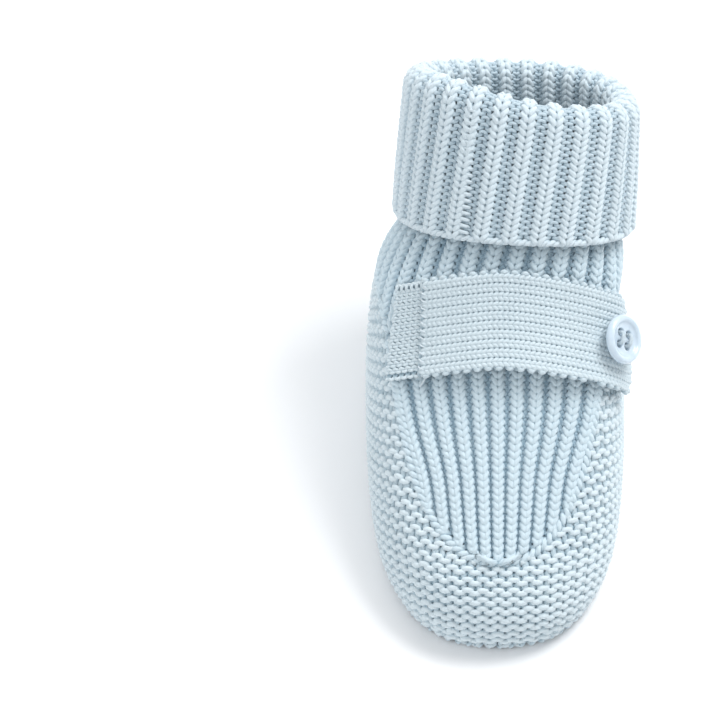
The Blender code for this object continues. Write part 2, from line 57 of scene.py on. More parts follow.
def unit(v):
    return v / np.maximum(np.linalg.norm(v, axis=-1, keepdims=True), 1e-9)


# ---- the bootie's own dimensions, the same as its solids have: outline and seam are the +X half, toe to heel
OUTLINE = [
    (0.0, -50.5), (9.0, -49.2), (15.5, -45.4), (20.5, -39.2), (24.2, -30.5), (26.2, -20.5), (27.1, -9.5),
    (27.3, 1.5), (27.2, 12.0), (26.6, 23.0), (24.8, 33.5), (20.2, 42.0), (11.5, 48.0), (0.0, 50.0),
]
SEAM = [
    (0.0, -38.8, 18.8), (5.0, -37.6, 18.9), (8.6, -35.2, 19.8), (12.6, -30.4, 21.8), (16.2, -23.2, 25.6),
    (19.0, -13.5, 31.0), (20.8, -5.0, 35.6), (22.4, 3.5, 38.6), (23.8, 12.0, 38.4), (24.2, 20.5, 36.0),
    (23.0, 29.0, 32.8), (18.3, 36.8, 30.2), (10.2, 41.4, 28.6), (0.0, 42.8, 28.0),
]
INSTEP_LINE = [
    (-38.8, 18.8), (-38.0, 19.3), (-35.8, 20.6), (-31.4, 23.2), (-24.6, 27.6), (-15.5, 33.6), (-7.2, 39.6),
    (0.5, 45.6),
]
INSTEP_TOP = 7.0
HEEL = 13.0
INSTEP_CROWN = 2.2
WALL_FOOT_INSET = 3.0
WALL_FOOT_HEIGHT = 0.6
WALL_BELLY = 1.2
WALL_BELLY_HEIGHT = 5.0
WALL_SHOULDER_INSET = 0.4
WALL_SHOULDER_SHARE = 0.86
WALL_SHOULDER_PULL = 0.12
HEM_CENTRE = np.array((3.6, 28.4, 44.0))
LEG_AXIS = unit(np.array((0.056, 0.608, 0.792)))
LEG_SIDE = np.array((0.9975, 0.0, -0.0705))
LEG_FRONT = np.array((0.0429, -0.7940, 0.6065))
LEG_RADIUS = 21.1
LEG_BULGE = 1.2
CUFF_HEM_RADIUS = 24.7
CUFF_TOP_RADIUS = 24.1
CUFF_LIP_RADIUS = 17.4
CUFF_HEIGHT = 28.4
CUFF_SEAM_ANGLE = math.radians(-28.0)
STRAP_ORIGIN = np.array((0.0, 1.5, 46.0))
STRAP_UP = unit(np.array((0.0, 0.73, 0.683)))
STRAP_OUT = unit(np.array((0.0, -0.683, 0.73)))
STRAP_CORE_DEPTH = 24.0
STRAP_WIDTH = 18.8
STRAP_CLEAR = 0.8
STRAP_ARCH = 2.2
TAB_ANGLE = math.radians(-46.0)
ROOT_ANGLE = math.radians(-31.0)
BUTTON_ANGLE = math.radians(50.0)
TIP_ANGLE = math.radians(66.0)
BUTTON_SPOT = np.array((24.449, 0.192, 40.157))
BUTTON_OUT = unit(np.array((0.7386, -0.3559, 0.5725)))
BUTTON_ALONG = unit(np.array((0.6651, 0.2461, -0.7051)))
BUTTON_UP = np.cross(BUTTON_OUT, BUTTON_ALONG)
BUTTON_PROFILE = [
    (0.0, 1.35), (2.7, 1.35), (3.3, 1.55), (3.7, 1.95), (4.1, 2.15), (4.5, 2.1), (4.85, 1.75), (5.0, 1.25),
    (4.9, 0.75), (4.4, 0.3), (3.6, 0.05), (0.0, 0.0),
]
BUTTON_HOLE = 1.2
HOLE_PROFILE = [
    (0.0, 3.0), (1.15, 3.0), (1.15, 1.42), (0.98, 1.34), (0.85, 1.22), (0.76, 1.02), (0.76, 0.34),
    (0.84, 0.14), (0.98, 0.02), (1.15, -0.06), (1.15, -1.0), (0.0, -1.0),
]


# ---- camera, floor and light
VIEW_DOWN = math.radians(52.0)
VIEW_WIDTH = 147.0
VIEW_CENTRE = np.array((-27.6, 9.2, 22.0))
VIEW_DISTANCE = 1200.0
look = np.array((0.0, math.cos(VIEW_DOWN), -math.sin(VIEW_DOWN)))
camera = bpy.data.objects.new("camera", bpy.data.cameras.new("camera"))
bpy.context.scene.collection.objects.link(camera)
camera.location = Vector((VIEW_CENTRE - look * VIEW_DISTANCE) * MM)
camera.rotation_euler = (math.pi / 2 - VIEW_DOWN, 0.0, 0.0)
camera.data.lens = camera.data.sensor_width * VIEW_DISTANCE / VIEW_WIDTH
camera.data.clip_start = 0.01
bpy.context.scene.camera = camera


def principled(name, colour, roughness):
    """A new material and its main shader."""
    made = bpy.data.materials.new(name)
    made.use_nodes = True
    shader = made.node_tree.nodes["Principled BSDF"]
    shader.inputs["Base Color"].default_value = (*colour, 1.0)
    shader.inputs["Roughness"].default_value = roughness
    return made, made.node_tree, shader


FLOOR_HALF = 1.6
floor_mesh = bpy.data.meshes.new("floor")
floor_corners = [(x * FLOOR_HALF, y * FLOOR_HALF, 0) for x, y in ((-1, -1), (1, -1), (1, 1), (-1, 1))]
floor_mesh.from_pydata(floor_corners, [], [(0, 1, 2, 3)])
floor = bpy.data.objects.new("floor", floor_mesh)
bpy.context.scene.collection.objects.link(floor)
floor.data.materials.append(principled("floor", (0.93, 0.93, 0.935), 0.9)[0])

world = bpy.data.worlds.new("studio")
bpy.context.scene.world = world
world.use_nodes = True
world.node_tree.nodes["Background"].inputs["Color"].default_value = (0.96, 0.98, 1.0, 1.0)
world.node_tree.nodes["Background"].inputs["Strength"].default_value = 0.68


def softbox(name, place, size, power, colour=(1.0, 1.0, 1.0)):
    """A square area light that faces the bootie."""
    lamp = bpy.data.lights.new(name, "AREA")
    lamp.shape = "SQUARE"
    lamp.size = size
    lamp.energy = power
    lamp.color = colour
    holder = bpy.data.objects.new(name, lamp)
    bpy.context.scene.collection.objects.link(holder)
    holder.location = place
    aim = Vector((0.0, 0.0, 0.03)) - Vector(place)
    holder.rotation_euler = aim.to_track_quat("-Z", "Y").to_euler()


softbox("key", (0.5, 0.3, 0.95), 0.55, 9.0)
softbox("fill", (-0.7, -0.6, 0.8), 1.0, 3.3, (0.97, 0.98, 1.0))
softbox("back", (-0.2, 0.9, 0.8), 0.8, 3.6)
bpy.context.scene.view_settings.view_transform = "Standard"


# ---- yarn materials
def link(tree, source, output, target, entry):
    tree.links.new(source.outputs[output], target.inputs[entry])


def math_node(tree, kind, *values):
    """The output of a new maths node; a value is a number or another node's output."""
    node = tree.nodes.new("ShaderNodeMath")
    node.operation = kind
    for entry, value in enumerate(values):
        if isinstance(value, (int, float)):
            node.inputs[entry].default_value = value
        else:
            tree.links.new(value, node.inputs[entry])
    return node.outputs[0]


def noise(tree, place, scale, detail):
    node = tree.nodes.new("ShaderNodeTexNoise")
    node.inputs["Scale"].default_value = scale
    node.inputs["Detail"].default_value = detail
    link(tree, place, "Object", node, "Vector")
    return node


def yarn_material(name, light, groove_shade, pitch, plies=3.0):
    """Cotton yarn: twisted plies, loose fibres, uneven dye, and painted shade low between the stitches and
    between the plies.
    """
    made, tree, shader = principled(name, light, 0.85)
    shader.inputs["Sheen Weight"].default_value = 0.35
    shader.inputs["Sheen Roughness"].default_value = 0.45
    shader.inputs["Specular IOR Level"].default_value = 0.25
    along = tree.nodes.new("ShaderNodeUVMap")
    along.uv_map = "yarn"
    split = tree.nodes.new("ShaderNodeSeparateXYZ")
    link(tree, along, "UV", split, 0)
    turns = math_node(tree, "DIVIDE", split.outputs[0], pitch)
    around = math_node(tree, "MULTIPLY", split.outputs[1], plies)
    phase = math_node(tree, "MULTIPLY", math_node(tree, "ADD", turns, around), 2 * math.pi)
    ply = math_node(tree, "MULTIPLY_ADD", math_node(tree, "SINE", phase), 0.5, 0.5)
    place = tree.nodes.new("ShaderNodeTexCoord")
    fibre = noise(tree, place, 5200.0, 3.0)
    cloud = noise(tree, place, 130.0, 4.0)
    height = math_node(tree, "MULTIPLY_ADD", fibre.outputs[0], 0.5, ply)
    rise = tree.nodes.new("ShaderNodeBump")
    rise.inputs["Strength"].default_value = 0.35
    rise.inputs["Distance"].default_value = 0.00012
    tree.links.new(height, rise.inputs["Height"])
    link(tree, rise, "Normal", shader, "Normal")
    # painted shade: the yarn is darker where it lies low between the stitches, read from each point's height
    # in the fabric
    shade_level = tree.nodes.new("ShaderNodeAttribute")
    shade_level.attribute_name = "shade_level"
    # uneven dye from the cloud noise, plus that painted shade
    shade = math_node(tree, "MULTIPLY_ADD", cloud.outputs[0], 0.35, -0.17)
    shade = math_node(tree, "ADD", shade, shade_level.outputs["Fac"])
    # the ply twist adds painted shade in the grooves between plies
    shade = math_node(tree, "MULTIPLY_ADD", ply, 0.12, shade)
    # the ramp runs from the painted groove shade up to the yarn's own colour on top
    ramp = tree.nodes.new("ShaderNodeValToRGB")
    ramp.color_ramp.elements[0].position = 0.0
    ramp.color_ramp.elements[0].color = (*groove_shade, 1.0)
    ramp.color_ramp.elements[1].position = 0.85
    ramp.color_ramp.elements[1].color = (*light, 1.0)
    tree.links.new(shade, ramp.inputs[0])
    link(tree, ramp, "Color", shader, "Base Color")
    rough = math_node(tree, "MULTIPLY_ADD", fibre.outputs[0], 0.2, 0.75)
    tree.links.new(rough, shader.inputs["Roughness"])
    return made


# each yarn: its own colour, then the darker painted shade for its grooves, then the ply pitch
GARTER = yarn_material("garter_yarn", (0.62, 0.71, 0.755), (0.22, 0.345, 0.425), 1.4)
RIB = yarn_material("rib_yarn", (0.57, 0.68, 0.74), (0.12, 0.26, 0.365), 1.3)
CUFF = yarn_material("cuff_yarn", (0.61, 0.70, 0.75), (0.25, 0.37, 0.45), 1.2)
STRAP = yarn_material("strap_yarn", (0.595, 0.685, 0.73), (0.25, 0.36, 0.43), 1.0)
JOIN = yarn_material("seam_yarn", (0.57, 0.68, 0.74), (0.22, 0.35, 0.44), 1.0)
THREAD = yarn_material("sewing_thread", (0.62, 0.70, 0.745), (0.36, 0.46, 0.53), 0.35, 2.0)


# ---- curves and surfaces
def spline(stations, at, closed=False):
    """A smooth curve through stations, read at an array of station numbers."""
    table = np.asarray(stations, float)
    at = np.asarray(at, float)
    size = len(table)
    if closed:
        i = np.floor(at).astype(int)
        before, start, end, after = [table[(i + k) % size] for k in (-1, 0, 1, 2)]
    else:
        i = np.clip(np.floor(at).astype(int), 0, size - 2)
        before, start, end, after = [table[np.clip(i + k, 0, size - 1)] for k in (-1, 0, 1, 2)]
    t = (at - i)[..., None]
    return 0.5 * (
        2 * start + (end - before) * t + (2 * before - 5 * start + 4 * end - after) * t**2
        + (3 * start - before - 3 * end + after) * t**3
    )


def run_of(points):
    """Distance along a line at each of its points."""
    return np.concatenate([[0], np.cumsum(np.linalg.norm(np.diff(points, axis=0), axis=1))])


def read_at(s, run, field):
    """Rows of a field at distances s along its line."""
    return np.stack([np.interp(s, run, field[:, k]) for k in range(field.shape[1])], -1)


def between(field, i, k):
    """A grid's field at fractional indices."""
    i0 = np.clip(np.floor(i).astype(int), 0, field.shape[0] - 2)
    k0 = np.clip(np.floor(k).astype(int), 0, field.shape[1] - 2)
    a, b = i - i0, k - k0
    if field.ndim == 3:
        a, b = a[..., None], b[..., None]
    return (
        field[i0, k0] * (1 - a) * (1 - b) + field[i0 + 1, k0] * a * (1 - b)
        + field[i0, k0 + 1] * (1 - a) * b + field[i0 + 1, k0 + 1] * a * b
    )


def whole_loop(half):
    """All stations of a closed loop from its +X half."""
    return half + [(-p[0], *p[1:]) for p in half[-2:0:-1]]


OUTLINE_LOOP = whole_loop(OUTLINE)
SEAM_LOOP = whole_loop(SEAM)


def outline_inset(at, inset, height):
    """Points inside the foot's outline by the inset, at a height."""
    ahead = spline(OUTLINE_LOOP, at + 0.05, True) - spline(OUTLINE_LOOP, at - 0.05, True)
    normal = unit(np.stack([ahead[..., 1], -ahead[..., 0]], -1))
    spot = spline(OUTLINE_LOOP, at, True) - normal * inset
    return np.concatenate([spot, np.broadcast_to(height, spot.shape[:-1])[..., None]], -1)


def wall_point(at, v):
    """Points of the wall's outer surface, v from 0 at the sole to 1 at the seam."""
    at, v = np.broadcast_arrays(np.asarray(at, float), np.asarray(v, float))
    top = spline(SEAM_LOOP, at, True)
    foot = outline_inset(at, WALL_FOOT_INSET, WALL_FOOT_HEIGHT)
    low = outline_inset(at, -WALL_BELLY, WALL_BELLY_HEIGHT)
    high = outline_inset(at, WALL_SHOULDER_INSET, top[..., 2] * WALL_SHOULDER_SHARE)
    high[..., :2] += (top[..., :2] - high[..., :2]) * WALL_SHOULDER_PULL
    v = v[..., None]
    return foot * (1 - v) ** 3 + low * 3 * v * (1 - v) ** 2 + high * 3 * v**2 * (1 - v) + top * v**3


def instep_point(at, q):
    """Points of the instep's outer surface, q from -1 to 1 across it."""
    at, q = np.broadcast_arrays(np.asarray(at, float), np.asarray(q, float))
    edge = spline(SEAM_LOOP, at, True)
    middle = spline(INSTEP_LINE, at)
    share = np.abs(q) ** INSTEP_CROWN
    y = middle[..., 0] + (edge[..., 1] - middle[..., 0]) * share
    z = middle[..., 1] + (edge[..., 2] - middle[..., 1]) * share
    return np.stack([edge[..., 0] * q, y, z], -1)


def oval(power, samples=720):
    """A rounded square of radius 1: shares of the way round from the front, and (side, front) at each."""
    a = np.linspace(0, 2 * math.pi, samples + 1)
    s, c = np.sin(a), np.cos(a)
    size = (np.abs(s) ** power + np.abs(c) ** power) ** (-1 / power)
    x, y = s * size, c * size
    run = np.concatenate([[0], np.cumsum(np.hypot(np.diff(x), np.diff(y)))])
    return run / run[-1], x, y


LEG_SQUARENESS = 2.35
OVAL = oval(LEG_SQUARENESS)


def oval_spot(share):
    """(side, front) on the rounded section at a share of a turn from the front, positive to +X."""
    run, x, y = OVAL
    share = np.mod(share, 1.0)
    return np.interp(share, run, x), np.interp(share, run, y)


def leg_ring(height, radius, share):
    """Points of the straight leg at a height above the hem."""
    side, front = oval_spot(share)
    height, radius, side, front = np.broadcast_arrays(height, radius, side, front)
    return (
        HEM_CENTRE + LEG_AXIS * height[..., None] + LEG_SIDE * (radius * side)[..., None]
        + LEG_FRONT * (radius * front)[..., None]
    )


class Sheet:
    """A surface held as a fine grid over (row, wale), read between its points."""

    fine = 4

    def __init__(self, make, rows, wales, inside, wrap=False):
        fine = self.fine
        self.start = (rows[0], wales[0])
        self.wrap = wrap
        r = np.arange(int(round((rows[1] - rows[0]) * fine)) + 1) / fine + rows[0]
        w = np.arange(int(round((wales[1] - wales[0]) * fine)) + (0 if wrap else 1)) / fine + wales[0]
        self.points = make(r[:, None], w[None, :])
        if wrap:
            padded = np.concatenate([self.points[:, -1:], self.points, self.points[:, :1]], 1)
            across = (padded[:, 2:] - padded[:, :-2]) / 2
        else:
            across = np.gradient(self.points, axis=1)
        up = np.gradient(self.points, axis=0)
        self.normals = unit(np.cross(across, up))
        if np.sum((self.points - np.asarray(inside)) * self.normals) < 0:
            self.normals = -self.normals

    def read(self, row, wale):
        """Points and outward normals at arrays of row and wale numbers."""
        r = (row - self.start[0]) * self.fine
        w = (wale - self.start[1]) * self.fine
        rows, wales = self.points.shape[:2]
        r = np.clip(r, -self.fine * 2, rows - 1 + self.fine * 2)
        i = np.clip(np.floor(r).astype(int), 0, rows - 2)
        fr = (r - i)[..., None]
        if self.wrap:
            w = np.mod(w, wales)
            j = np.floor(w).astype(int) % wales
            k = (j + 1) % wales
            fw = (w - np.floor(w))[..., None]
        else:
            j = np.clip(np.floor(w).astype(int), 0, wales - 2)
            k = j + 1
            fw = (w - j)[..., None]
        found = []
        for field in (self.points, self.normals):
            low = field[i, j] * (1 - fw) + field[i, k] * fw
            high = field[i + 1, j] * (1 - fw) + field[i + 1, k] * fw
            found.append(low * (1 - fr) + high * fr)
        return found[0], unit(found[1])


# ---- yarn
# points to a stitch, sides to a yarn, and how deep the middle of the knit lies under the outer surface
STEPS = 12
SIDES = 6
BODY_DEPTH = -1.15


def smooth(x):
    x = np.clip(x, 0.0, 1.0)
    return x * x * (3 - 2 * x)


def stitch_line(row, first, count, steps, weave, closed=False):
    """The yarn of one row of loops: (row, wale, depth) of each point, all in the fabric's own numbers."""
    total = count * steps + (0 if closed else 1)
    k = np.arange(total)
    t = -math.pi + 2 * math.pi * k / steps
    i = np.minimum(k // steps, count - 1)
    local = t - 2 * math.pi * i
    wale = first + i
    beside = wale + np.where(local < 0, -1, 1)
    mix = 0.5 * smooth((np.abs(local) - 2.0) / (math.pi - 2.0))
    kind = weave["kind"]
    lower = (1 - mix) * kind(row, wale) + mix * kind(row, beside)
    upper = (1 - mix) * kind(row + 1, wale) + mix * kind(row + 1, beside)
    rise = smooth((np.cos(t) + 0.3) / 0.6)
    side = lower * (1 - rise) + upper * rise
    u = first + t / (2 * math.pi) + weave["lean"] * np.sin(2 * t)
    c = row + weave["reach"] * np.cos(t)
    # a fixed hash makes each stitch a little taller or shorter than the next
    wobble = np.sin(row * 12.9898 + wale * 78.233) * 43758.5453
    wobble = wobble - np.floor(wobble) - 0.5
    c = c + weave["uneven"] * wobble * np.cos(local / 2)
    depth = -side * weave["depth"] * np.cos(2 * t)
    return c, u, depth


def tube_rings(points, normals, radius, sides, closed):
    """Rings of vertices round a line, and the distance along it."""
    if closed:
        along = np.roll(points, -1, 0) - np.roll(points, 1, 0)
    else:
        along = np.gradient(points, axis=0)
    along = unit(along)
    side = unit(np.cross(along, normals))
    up = np.cross(side, along)
    a = 2 * math.pi * np.arange(sides) / sides
    ring = up[:, None] * np.cos(a)[None, :, None] + side[:, None] * np.sin(a)[None, :, None]
    ring = ring * np.reshape(radius, (-1, 1, 1))
    step = np.linalg.norm(np.diff(points, axis=0, append=points[:1]), axis=1)
    run = np.concatenate([[0], np.cumsum(step)])
    return points[:, None] + ring, run


def yarn_piece(name, strands, sides, material):
    """One mesh from strands of yarn: each is (points, normals, radius, height for the painted shade, closed).
    """
    verts, shade_levels, quads, quad_uv, tris = [], [], [], [], []
    base = 0
    for points, normals, radius, shade_level, closed in strands:
        count = len(points)
        rings, run = tube_rings(points, normals, np.broadcast_to(radius, count), sides, closed)
        verts.append(rings.reshape(-1, 3))
        shade_levels.append(np.repeat(np.broadcast_to(shade_level, count), sides))
        spans = count if closed else count - 1
        i = np.arange(spans)[:, None]
        j = np.arange(sides)[None, :]
        n = (i + 1) % count
        m = (j + 1) % sides
        corners = [i * sides + j, i * sides + m, n * sides + m, n * sides + j]
        quads.append(np.stack(corners, -1).reshape(-1, 4) + base)
        u0, u1 = run[:-1][:spans][:, None] + 0 * j, run[1:][:spans][:, None] + 0 * j
        v0, v1 = (j + 0 * i) / sides, (j + 1 + 0 * i) / sides
        uv_corners = [np.stack(pair, -1) for pair in ((u0, v0), (u0, v1), (u1, v1), (u1, v0))]
        quad_uv.append(np.stack(uv_corners, -2).reshape(-1, 2))
        if not closed:
            last = base + (count - 1) * sides
            for k in range(1, sides - 1):
                tris.append((base, base + k + 1, base + k))
                tris.append((last, last + k, last + k + 1))
        base += count * sides
    verts = np.concatenate(verts) * MM
    quads = np.concatenate(quads)
    tris = np.array(tris, int).reshape(-1, 3)
    corners = np.concatenate([quads.reshape(-1), tris.reshape(-1)])
    mesh = bpy.data.meshes.new(name)
    mesh.vertices.add(len(verts))
    mesh.vertices.foreach_set("co", verts.astype(np.float32).reshape(-1))
    mesh.loops.add(len(corners))
    mesh.loops.foreach_set("vertex_index", corners.astype(np.int32))
    mesh.polygons.add(len(quads) + len(tris))
    starts = np.concatenate([np.arange(len(quads)) * 4, len(quads) * 4 + np.arange(len(tris)) * 3])
    mesh.polygons.foreach_set("loop_start", starts.astype(np.int32))
    mesh.update(calc_edges=True)
    mesh.polygons.foreach_set("use_smooth", np.ones(len(quads) + len(tris), bool))
    layer = mesh.uv_layers.new(name="yarn")
    flat = np.zeros((len(corners), 2), np.float32)
    flat[: len(quads) * 4] = np.concatenate(quad_uv)
    layer.data.foreach_set("uv", flat.reshape(-1))
    shade_level_layer = mesh.attributes.new("shade_level", "FLOAT", "POINT")
    shade_level_layer.data.foreach_set("value", np.concatenate(shade_levels).astype(np.float32))
    mesh.validate()
    obj = bpy.data.objects.new(name, mesh)
    bpy.context.scene.collection.objects.link(obj)
    mesh.materials.append(material)
    return obj


def shade_level_of(depth, weave):
    """How high a point stands in the fabric, from 0 in the grooves to 1 on top; low points get painted shade
    in the yarn's colour.
    """
    span = weave["depth"] + weave["relief"]
    return np.clip(0.5 + 0.5 * depth / span, 0.0, 1.0)


def knit_row(sheet, row, first, count, weave, closed=False, base=0.0):
    """The strand of one row of rib laid on a sheet."""
    c, u, depth = stitch_line(row, first, count, STEPS, weave, closed)
    depth = depth + weave["offset"](c, u)
    points, normals = sheet.read(c, weave["place"](u))
    points = points + normals * (depth + base)[:, None]
    return points, normals, weave["thickness"](u), shade_level_of(depth, weave), closed


def rib_weave(radius, depth, relief, narrow, tighten, thin=0.28):
    """One knit wale, one purl wale; purl wales lie back, close up and show thinner yarn."""
    return {
        "kind": lambda row, wale: np.where(wale % 2 == 0, 1.0, -1.0) + 0.0 * row,
        "offset": lambda c, u: relief * np.cos(math.pi * u),
        "place": lambda u: (
            u + narrow / math.pi * np.sin(math.pi * u)
            - tighten / (2 * math.pi) * np.sin(2 * math.pi * u) * np.maximum(np.cos(math.pi * u), 0) ** 0.5
        ),
        "thickness": lambda u: radius * (1 - thin * (0.5 - 0.5 * np.cos(math.pi * u))),
        "depth": depth, "relief": relief, "lean": 0.25, "reach": 0.86, "uneven": 0.06,
    }


def garter_weave(radius, depth, relief, reach=0.9):
    """Rows turn by turn knit and purl; the purl bumps stand up as ridges."""
    return {
        "kind": lambda row, wale: np.where(np.mod(row, 2) == 0, 1.0, -1.0) + 0.0 * wale,
        "offset": lambda c, u: relief * np.cos(math.pi * (c - 0.5)),
        "radius": radius, "depth": depth, "relief": relief, "lean": 0.16, "reach": reach, "uneven": 0.22,
    }


def plain_weave(radius, depth, face, crown, tighten):
    """Every stitch the same, knit face (1) or purl face (-1) out; wale centres are at half numbers."""
    return {
        "kind": lambda row, wale: face + 0.0 * wale + 0.0 * row,
        "offset": lambda c, u: crown * np.cos(2 * math.pi * u),
        "place": lambda u: u - tighten / (2 * math.pi) * np.sin(2 * math.pi * u) + 0.5,
        "radius": radius, "depth": depth, "relief": crown, "lean": 0.25, "reach": 0.82, "uneven": 0.06,
    }


def even_line(points, normals, step):
    """The same line with its points an even step apart."""
    run = run_of(points)
    s = np.linspace(0, run[-1], max(int(run[-1] / step), 4))
    return read_at(s, run, points), unit(read_at(s, run, normals)), s


def overcast(points, normals, half, rise, pitch, radius, sink=0.0, closed=False):
    """Whip stitches: one yarn wound over and under along a line."""
    points, normals, s = even_line(points, normals, pitch / 12)
    if closed:
        points, normals, s = points[:-1], normals[:-1], s[:-1]
        turns = round(len(s) / 12)
        phase = 2 * math.pi * turns * np.arange(len(s)) / len(s)
        along = unit(np.roll(points, -1, 0) - np.roll(points, 1, 0))
    else:
        phase = 2 * math.pi * s / pitch
        along = unit(np.gradient(points, axis=0))
    side = unit(np.cross(along, normals))
    sway, lift = half * np.cos(phase), rise * np.sin(phase) - sink
    path = points + side * sway[:, None] + normals * lift[:, None]
    # the yarn is painted darker, as shade, where it dips under and lighter where it rides over
    return path, normals, radius, 0.5 + 0.4 * np.sin(phase), closed


def cord(points, normals, swing, pitch, radius, sink):
    """Two strands twisted round each other along a line."""
    points, normals, s = even_line(points, normals, pitch / 14)
    side = unit(np.cross(unit(np.gradient(points, axis=0)), normals))
    strands = []
    for shift in (0.0, math.pi):
        phase = 2 * math.pi * s / pitch + shift
        sway, lift = swing * np.cos(phase), swing * np.sin(phase) - sink
        path = points + side * sway[:, None] + normals * lift[:, None]
        # each strand is painted darker, as shade, where it turns down under the other
        strands.append((path, normals, radius, 0.6 + 0.35 * np.sin(phase), False))
    return strands


# ---- leg: ribs from the ankle seam up into the cuff
LEG_WALES = 60
LEG_ROW = 1.47
LEG_TOP_ROW = 17
INSTEP_SHARE = 1.1 / (2 * math.pi)
LEAST_LEG = 2.0
LEG_OVERLAP = 0.7


def ankle_curve(samples=241):
    """The +X half of the line where the ribs of the leg start, as (share of a turn, point)."""
    q = np.linspace(0, 1, 41)
    over = instep_point(np.full(41, INSTEP_TOP), q)
    around = spline(SEAM_LOOP, np.linspace(INSTEP_TOP, HEEL, samples - 40), True)[1:]
    step = np.linalg.norm(around[0] - over[-1])
    run = run_of(around) + step
    share = np.concatenate([q * INSTEP_SHARE, INSTEP_SHARE + run / run[-1] * (0.5 - INSTEP_SHARE)])
    return share, np.concatenate([over, around])


ANKLE_SHARE, ANKLE_POINTS = ankle_curve()


def ankle_point(share):
    """Where a wale starts on the ankle line."""
    turn = np.mod(share + 0.5, 1.0) - 0.5
    half = np.abs(turn)
    spot = read_at(half, ANKLE_SHARE, ANKLE_POINTS)
    spot[..., 0] *= np.where(turn < 0, -1.0, 1.0)
    return spot


def leg_start(share):
    """Height of the ankle line below the hem, along the leg (negative)."""
    return np.minimum((ankle_point(share) - HEM_CENTRE) @ LEG_AXIS, -LEAST_LEG)


def leg_surface(row, wale):
    share = wale / LEG_WALES
    height, share = np.broadcast_arrays(row * LEG_ROW, share)
    low = leg_start(share)
    down = np.clip(height / low, 0.0, 1.25)
    top = leg_ring(0.0, LEG_RADIUS, share)
    side, front = oval_spot(share)
    out = LEG_SIDE * side[..., None] + LEG_FRONT * front[..., None]
    bulge = LEG_BULGE * 4 * down * (1 - down)
    below = top + (ankle_point(share) - top) * down[..., None] + out * bulge[..., None]
    above = leg_ring(height, LEG_RADIUS, share)
    return np.where((height < 0)[..., None], below, above)


LEG_LOW_ROW = -14
leg_sheet = Sheet(leg_surface, (LEG_LOW_ROW, LEG_TOP_ROW + 1), (0, LEG_WALES), HEM_CENTRE, wrap=True)
leg_weave = rib_weave(radius=0.64, depth=0.42, relief=0.72, narrow=0.66, tighten=0.75)
leg_strands = []
for row in range(LEG_LOW_ROW + 1, LEG_TOP_ROW + 1):
    wales = np.arange(-LEG_WALES // 2, LEG_WALES // 2)
    starts = leg_start(wales / LEG_WALES)
    started = wales[row * LEG_ROW > starts - LEG_OVERLAP]
    if len(started) == LEG_WALES:
        leg_strands.append(knit_row(leg_sheet, row, 0, LEG_WALES, leg_weave, True, BODY_DEPTH))
        continue
    for part in np.split(started, np.where(np.diff(started) > 1)[0] + 1):
        if len(part) > 1:
            leg_strands.append(knit_row(leg_sheet, row, part[0], len(part), leg_weave, False, BODY_DEPTH))
leg_knit = yarn_piece("leg_knit", leg_strands, SIDES, RIB)

# ---- instep: ribs that fan out from the strap and end at the V seam
INSTEP_ROW = 1.47
WALE_BY_STATION = [1.20, 1.25, 1.32, 1.40, 1.53, 1.84, 2.00, 2.04]
stations = np.linspace(0, INSTEP_TOP, 300)
middle_line = spline(INSTEP_LINE, stations)
middle_run = run_of(middle_line)
INSTEP_ROWS = int(middle_run[-1] / INSTEP_ROW)


def instep_station(row):
    """Station along the instep of a row; row 0 is the last, under the strap."""
    return np.interp(middle_run[-1] + row * INSTEP_ROW, middle_run, stations)


def wale_width(at):
    return spline([(w,) for w in WALE_BY_STATION], at)[..., 0]


def instep_surface(row, wale):
    at = instep_station(row)
    width = np.maximum(np.abs(spline(SEAM_LOOP, at, True)[..., 0]), 0.8)
    q = wale * wale_width(at) / width
    return instep_point(at, np.clip(q, -1.05, 1.05))


instep_sheet = Sheet(instep_surface, (-INSTEP_ROWS, 0), (-13, 13), (0, -5, 5))
instep_weave = rib_weave(radius=0.62, depth=0.40, relief=0.66, narrow=0.7, tighten=0.85)
INSTEP_OVERLAP = 0.4
instep_strands = []
for row in range(-INSTEP_ROWS, 1):
    at = float(instep_station(max(row, 1 - INSTEP_ROWS)))
    half = abs(spline(SEAM_LOOP, np.array(at), True)[0]) / float(wale_width(np.array(at)))
    wales = np.arange(-12, 13)
    inside = wales[np.abs(wales) < half + INSTEP_OVERLAP]
    if len(inside) > 1:
        strand = knit_row(instep_sheet, row, inside[0], len(inside), instep_weave, False, BODY_DEPTH)
        instep_strands.append(strand)
instep_knit = yarn_piece("instep_knit", instep_strands, SIDES, RIB)

# ---- turned-down cuff: out from the hem, over the fold and down inside
CUFF_WALES = 54
CUFF_ROW = 1.25
CUFF_SLANT = 0.018
CUFF_HALF = 1.1
FOLD_RISE = 2.9
RIM_RISE = 4.2
RUMPLE_TURN = -0.75
RUMPLE_WIDTH = 0.8


def cuff_profile():
    """(radius, height) of the middle of the cuff's fabric, by distance from the hem."""
    radius = (CUFF_TOP_RADIUS - CUFF_LIP_RADIUS) / 2 - CUFF_HALF
    middle = (CUFF_TOP_RADIUS + CUFF_LIP_RADIUS) / 2
    hem = CUFF_HEM_RADIUS - CUFF_HALF
    top = CUFF_HEIGHT - CUFF_HALF
    fold = top - FOLD_RISE
    points = [(hem, 0.3), (hem - 0.1, 10.0), (middle + radius, fold)]
    for a in np.linspace(0.15, math.pi, 18):
        points.append((middle + radius * math.cos(a), fold + FOLD_RISE * math.sin(a)))
    points += [(middle - radius, top - 6.0), (CUFF_LIP_RADIUS + CUFF_HALF, 16.0)]
    points = np.array(points)
    return run_of(points), points


CUFF_RUN, CUFF_POINTS = cuff_profile()
CUFF_ROWS = int(CUFF_RUN[-1] / CUFF_ROW)


